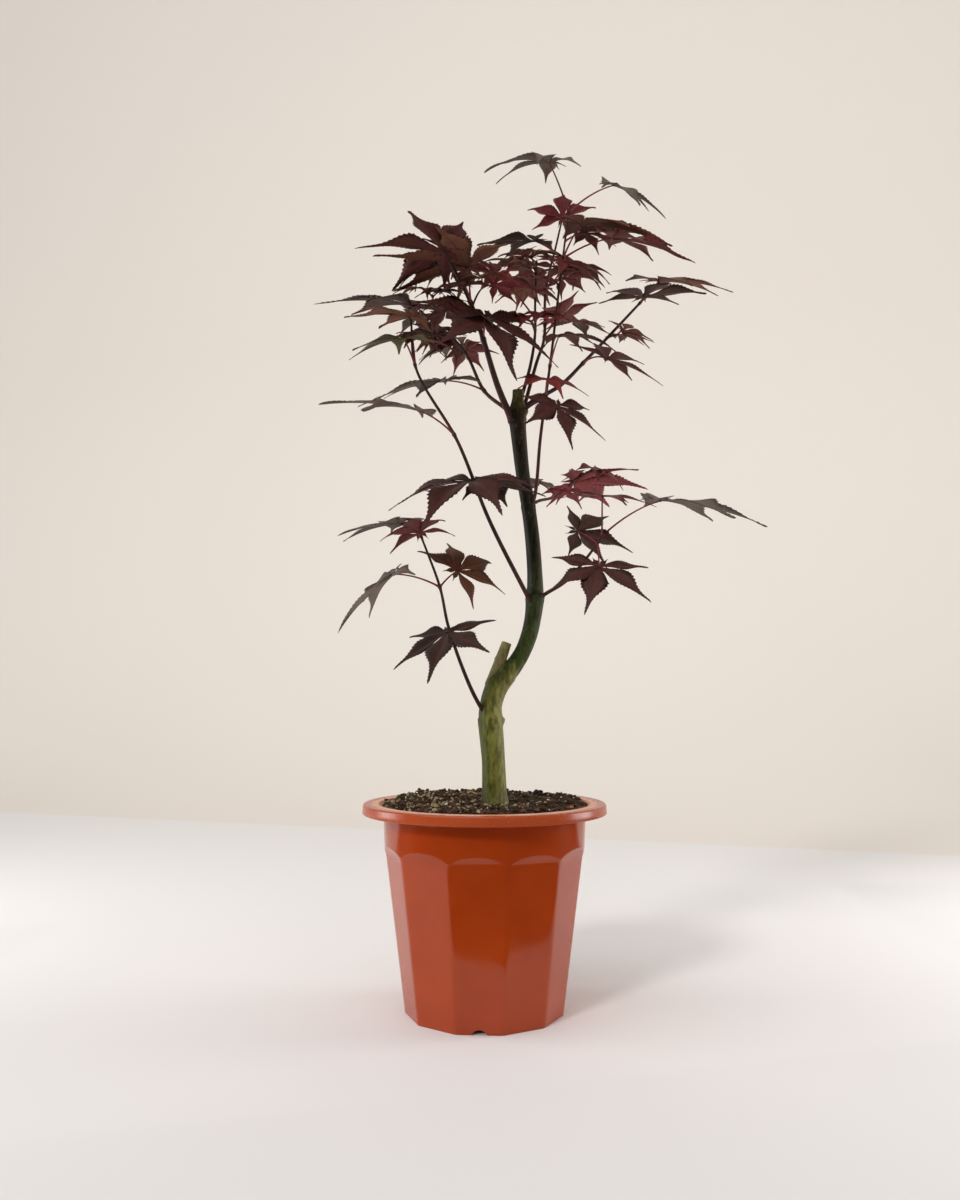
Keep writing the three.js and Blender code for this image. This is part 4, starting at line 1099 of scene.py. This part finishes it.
def grow(name, shoot):
    """Makes one spray of leaves, and returns the boughs of wood that its stem stands for."""
    line, foot, tip, bare, young, seed, rows = shoot
    line, draws, rng = np.array(line, float), seeded(seed), np.random.default_rng(seed)
    low, high = (1000 * np.array(corner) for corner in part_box("foliage_" + name))
    tint_order = SPRAY_TINTS[name]
    lobes, tints = [], []

    def add_leaf(start, reach, shape, number):
        """Adds a stalk and the lobes at its end, in the tint whose turn it is."""
        petiole_parts.append(stalk(start, reach))
        new = leaf_lobes(start + reach, shape, draws)
        lobes.extend(new)
        tints.extend([number % len(tint_order)] * len(new))

    stem(line, foot, tip, sorted({row[0] for row in rows}))
    # The leaves that have a row of their own
    for number, (at, right, back, rise, *shape) in enumerate(rows):
        add_leaf(along(line, [at])[0], np.array([right, back, rise], float), shape, number)
    # The young leaves, by the source's rule and draws
    out = math.degrees(math.atan2(line[-1][1] - line[0][1], line[-1][0] - line[0][0]))
    for number in range(young):
        at = mix(max(bare, 0.3) + 0.05, 0.95, next(draws))
        facing = out + YOUNG_SWING * (2 * next(draws) - 1)
        length = mix(*YOUNG_PETIOLE, next(draws))
        size = mix(*YOUNG_BLADE, next(draws))
        turn = math.radians(facing)
        reach = length * np.array([math.cos(turn), math.sin(turn), 0.5])
        add_leaf(along(line, [at])[0], reach, [size, facing, -15, 0, 25], number)
    # Side twigs with a pair of leaves each, where both leaves stay within the mass
    number = (young or len(rows)) - 1
    made, tries = 0, 0
    while made < FINE_TWIGS[name] and tries < TWIG_TRIES:
        tries += 1
        start, end, way, size, pair = draw_twig(line, bare, out, rng)
        if any((far <= low - TWIG_SLACK).any() or (far >= high + TWIG_SLACK).any()
               for _, _, far in pair):
            continue
        made += 1
        add_twig(start, end, way)
        for reach, facing, _ in pair:
            shape = [size * rng.uniform(0.85, 1.05), facing, rng.uniform(-30, 5),
                     rng.uniform(-20, 20), rng.uniform(15, 40)]
            add_leaf(end, reach, shape, number)
            number += 1
    kinds = sorted(set(tint_order))
    materials = [leaf_tops[tint] for tint in kinds] + [leaf_unders[tint] for tint in kinds]
    grids, bases, tips = lobe_grids(np.array(lobes), rng)
    finish = blade_finish(tints, kinds, tint_order)
    make_piece("leaves_" + name, [skin(grids, bases, tips, finish)], [*materials, leaf_rib],
               ["foliage_" + name])
    return ["bough_" + name] if bare > 0 else []


# %% Grow every shoot
boughs = [bough for name, shoot in SHOOTS.items() for bough in grow(name, shoot)]
make_piece("shoot_stems", wood_parts, [shoot_bark], boughs)
make_piece("leaf_stalks", petiole_parts, [petiole_skin])

# %% [markdown]
# The potting mix
#
# Nursery soil is a loose mix of bark chips, peat, grit and white perlite. The bed is a lumpy body
# that fills the pot, with the same waves, mound and heap as the solid, a little lower. On it lie a
# few thousand grains: each is a twenty-faced body with its corners moved at random, stretched and
# turned, because a real crumb has flat breaks.

# %% Soil bed
SOIL_LEVEL, SOIL_EDGE_DROP, SOIL_TOP_RADIUS = 179, 2.5, 86
SOIL_WAVES = [(1.0, 0.21, 0.13), (0.8, -0.12, 0.2), (0.7, 0.11, -0.17)]
MOUND_X, MOUND_Y, MOUND_HEIGHT, MOUND_SPREAD = -34, 22, 5, 30
SOIL_FLAT = (13, 30)  # the waves start and are full at these distances from the trunk
SOIL_DROP_FROM = 76  # radius where the drop to the pot's wall begins
HEAP_HEIGHT, HEAP_REACH, HEAP_MIDDLE, HEAP_HALF = 4.0, 14, 12, 82  # mm, and degrees from the back
BED_SINK = 1.2  # the bed lies this far below the solid's top, which leaves room for the grains
BED_FOOT = FLOOR + 0.3
BED_SIDE = [  # radius and height, just inside the pot's wall
    (10, BED_FOOT), (62, BED_FOOT), (62.5, 7), (78.8, 138), (82.6, 148), (84, 171.5)]
GRAIN_LIMIT, TRUNK_CLEAR = 87, 13.5  # no grain lies outside the one circle or inside the other


def soil_height(x, y):
    """The solid's waves and mound, faded to nothing round the trunk by 3 u^2 - 2 u^3, with its
    drop at the pot's wall and its low heap against the far side, which hides the lip there."""
    waves = sum(rise * np.sin(a * x + b * y) for rise, a, b in SOIL_WAVES)
    mound = MOUND_HEIGHT * np.exp(
        -((x - MOUND_X) ** 2 + (y - MOUND_Y) ** 2) / (2 * MOUND_SPREAD ** 2))
    u = np.clip((np.hypot(x - TRUNK_LINE[0, 1], y - TRUNK_FRONT) - SOIL_FLAT[0])
                / (SOIL_FLAT[1] - SOIL_FLAT[0]), 0, 1)
    radius = np.hypot(x, y)
    outer = np.clip((radius - SOIL_DROP_FROM) / (SOIL_TOP_RADIUS - SOIL_DROP_FROM), 0, 1)
    drop = SOIL_EDGE_DROP * outer ** 2
    bearing = np.degrees(np.arctan2(x, y)) - HEAP_MIDDLE
    heap = HEAP_HEIGHT * np.exp(-(bearing / HEAP_HALF) ** 6
                                - ((radius - SOIL_TOP_RADIUS) / HEAP_REACH) ** 2)
    return SOIL_LEVEL - BED_SINK + (waves + mound) * u * u * (3 - 2 * u) - drop + heap


soil_draws = np.random.default_rng(77)
bed_turn = 2 * np.pi * np.arange(160) / 160
bed_radii = np.linspace(SOIL_TOP_RADIUS, 4, 42)
bed_x = bed_radii[:, None] * np.cos(bed_turn)
bed_y = bed_radii[:, None] * np.sin(bed_turn)
bed_z = soil_height(bed_x, bed_y) + soil_draws.normal(0, 0.35, bed_x.shape)
top_rings = np.stack([bed_x, bed_y, bed_z], axis=2)
side_rings = np.stack([
    np.stack([radius * np.cos(bed_turn), radius * np.sin(bed_turn), 0 * bed_turn + z], axis=1)
    for radius, z in BED_SIDE])
bed_rings = np.concatenate([side_rings, top_rings])[None]
bed_ends = np.array([[0, 0, BED_FOOT]]), np.array([[0, 0, soil_height(0.0, 0.0)]])
print("bed's top from", round(float(bed_z.min()), 1), "to", round(float(bed_z.max()), 1), "mm")

# %% [markdown]
# Peat, bark chips, grit and perlite
#
# All of them are dull and dry on top, so they are rough and take two close tints each from one
# noise. What tells them apart is the tone: dark peat, red-brown chips, beige and greyish grit, and
# perlite, which is white volcanic glass blown up by heat. A little moss grows on the left.

# %% Soil materials
peat = mottled("peat_dark", ("#27180d", "#48331e"), 1.2, (0.85, 1.0), 0.5)
chip_bark = mottled("bark_chip_brown", ("#40241a", "#6e4129"), 2, (0.75, 0.95), 0.4, (1, 0.3, 1))
grit = mottled("grit_beige", ("#6f5a3b", "#b9a47e"), 1.2, (0.8, 0.95), 0.3)
stone = mottled("stone_grey", ("#4a4530", "#8a7f60"), 1.5, (0.8, 0.95), 0.3)
perlite = mottled("perlite_white", ("#c9c2b4", "#e9e4d8"), 1, (0.8, 0.95), 0.3)
moss = mottled("moss_green", ("#3c4a18", "#5f6c28"), 0.8, (0.8, 0.95), 0.4)
make_piece("soil_bed", [skin(bed_rings, *bed_ends)], [peat], ["soil"])

# %% Shape of a grain
golden = (1 + math.sqrt(5)) / 2
CORNERS = unit(np.array([
    [-1, golden, 0], [1, golden, 0], [-1, -golden, 0], [1, -golden, 0],
    [0, -1, golden], [0, 1, golden], [0, -1, -golden], [0, 1, -golden],
    [golden, 0, -1], [golden, 0, 1], [-golden, 0, -1], [-golden, 0, 1]]))
SIDES = np.array([
    [0, 11, 5], [0, 5, 1], [0, 1, 7], [0, 7, 10], [0, 10, 11], [1, 5, 9], [5, 11, 4],
    [11, 10, 2], [10, 7, 6], [7, 1, 8], [3, 9, 4], [3, 4, 2], [3, 2, 6], [3, 6, 8], [3, 8, 9],
    [4, 9, 5], [2, 4, 11], [6, 2, 10], [8, 6, 7], [9, 8, 1]])


def turns(angle, axis):
    """Turning matrices about axis 0, 1 or 2, one for each angle."""
    matrix = np.zeros((len(angle), 3, 3))
    a, b = (axis + 1) % 3, (axis + 2) % 3
    matrix[:, axis, axis] = 1
    matrix[:, a, a] = matrix[:, b, b] = np.cos(angle)
    matrix[:, b, a], matrix[:, a, b] = np.sin(angle), -np.sin(angle)
    return matrix


def scatter_grains(count, centre, spread, long, wide, thick, tilt, lift, rng):
    """Stretched and turned twenty-faced crumbs, scattered on the soil about a centre."""
    x, y = np.empty(0), np.empty(0)
    while len(x) < count:
        new = rng.normal(centre, spread, (count, 2))
        from_trunk = np.hypot(new[:, 0] - TRUNK_LINE[0, 1], new[:, 1] - TRUNK_FRONT)
        inside = (np.hypot(*new.T) < GRAIN_LIMIT) & (from_trunk > TRUNK_CLEAR)
        x, y = np.append(x, new[inside, 0]), np.append(y, new[inside, 1])
    x, y = x[:count], y[:count]
    low, high = np.array([long, wide, thick]).T
    half = mix(low, high, rng.uniform(0, 1, (count, 1)) ** 2.2)  # many small, few large
    body = CORNERS[None] * rng.uniform(0.72, 1.2, (count, 12, 1)) * half[:, None]
    matrix = (turns(rng.uniform(0, 2 * np.pi, count), 2) @ turns(rng.normal(0, tilt, count), 0)
              @ turns(rng.uniform(0, 2 * np.pi, count), 2))
    body = np.einsum("kij,knj->kni", matrix, body)
    z = soil_height(x, y) + lift * half[:, 2] + rng.uniform(-0.4, 0.9, count)
    points = body + np.stack([x, y, z], axis=1)[:, None]
    faces = SIDES[None] + 12 * np.arange(count)[:, None, None]
    return points.reshape(-1, 3), [(faces.reshape(-1, 3), np.zeros(20 * count, int))]


# %% Scatter the grains
GRAINS = [  # name, material, count, centre, spread, half length, width and thickness, tilt, lift
    ("soil_peat", peat, 4400, (0, 0), 62, (0.7, 4.6), (0.6, 3.4), (0.5, 2.0), 1.0, 0.3),
    ("soil_chips", chip_bark, 420, (22, 0), 50, (1.6, 6.5), (1.0, 3.4), (0.5, 1.5), 0.4, 0.8),
    ("soil_grit", grit, 760, (-24, -4), 36, (0.6, 2.6), (0.5, 2.0), (0.4, 1.3), 0.8, 1.5),
    ("soil_stones", stone, 300, (-22, 0), 42, (0.7, 3.2), (0.6, 2.4), (0.5, 1.6), 0.7, 1.3),
    ("soil_perlite", perlite, 210, (6, -4), 50, (0.5, 1.6), (0.5, 1.4), (0.5, 1.1), 1.0, 1.3),
    ("soil_moss", moss, 90, (-36, 4), 26, (0.5, 1.4), (0.4, 1.0), (0.4, 1.0), 1.0, 1.2)]
for name, material, *rule in GRAINS:
    make_piece(name, [scatter_grains(*rule, soil_draws)], [material], smooth=False)
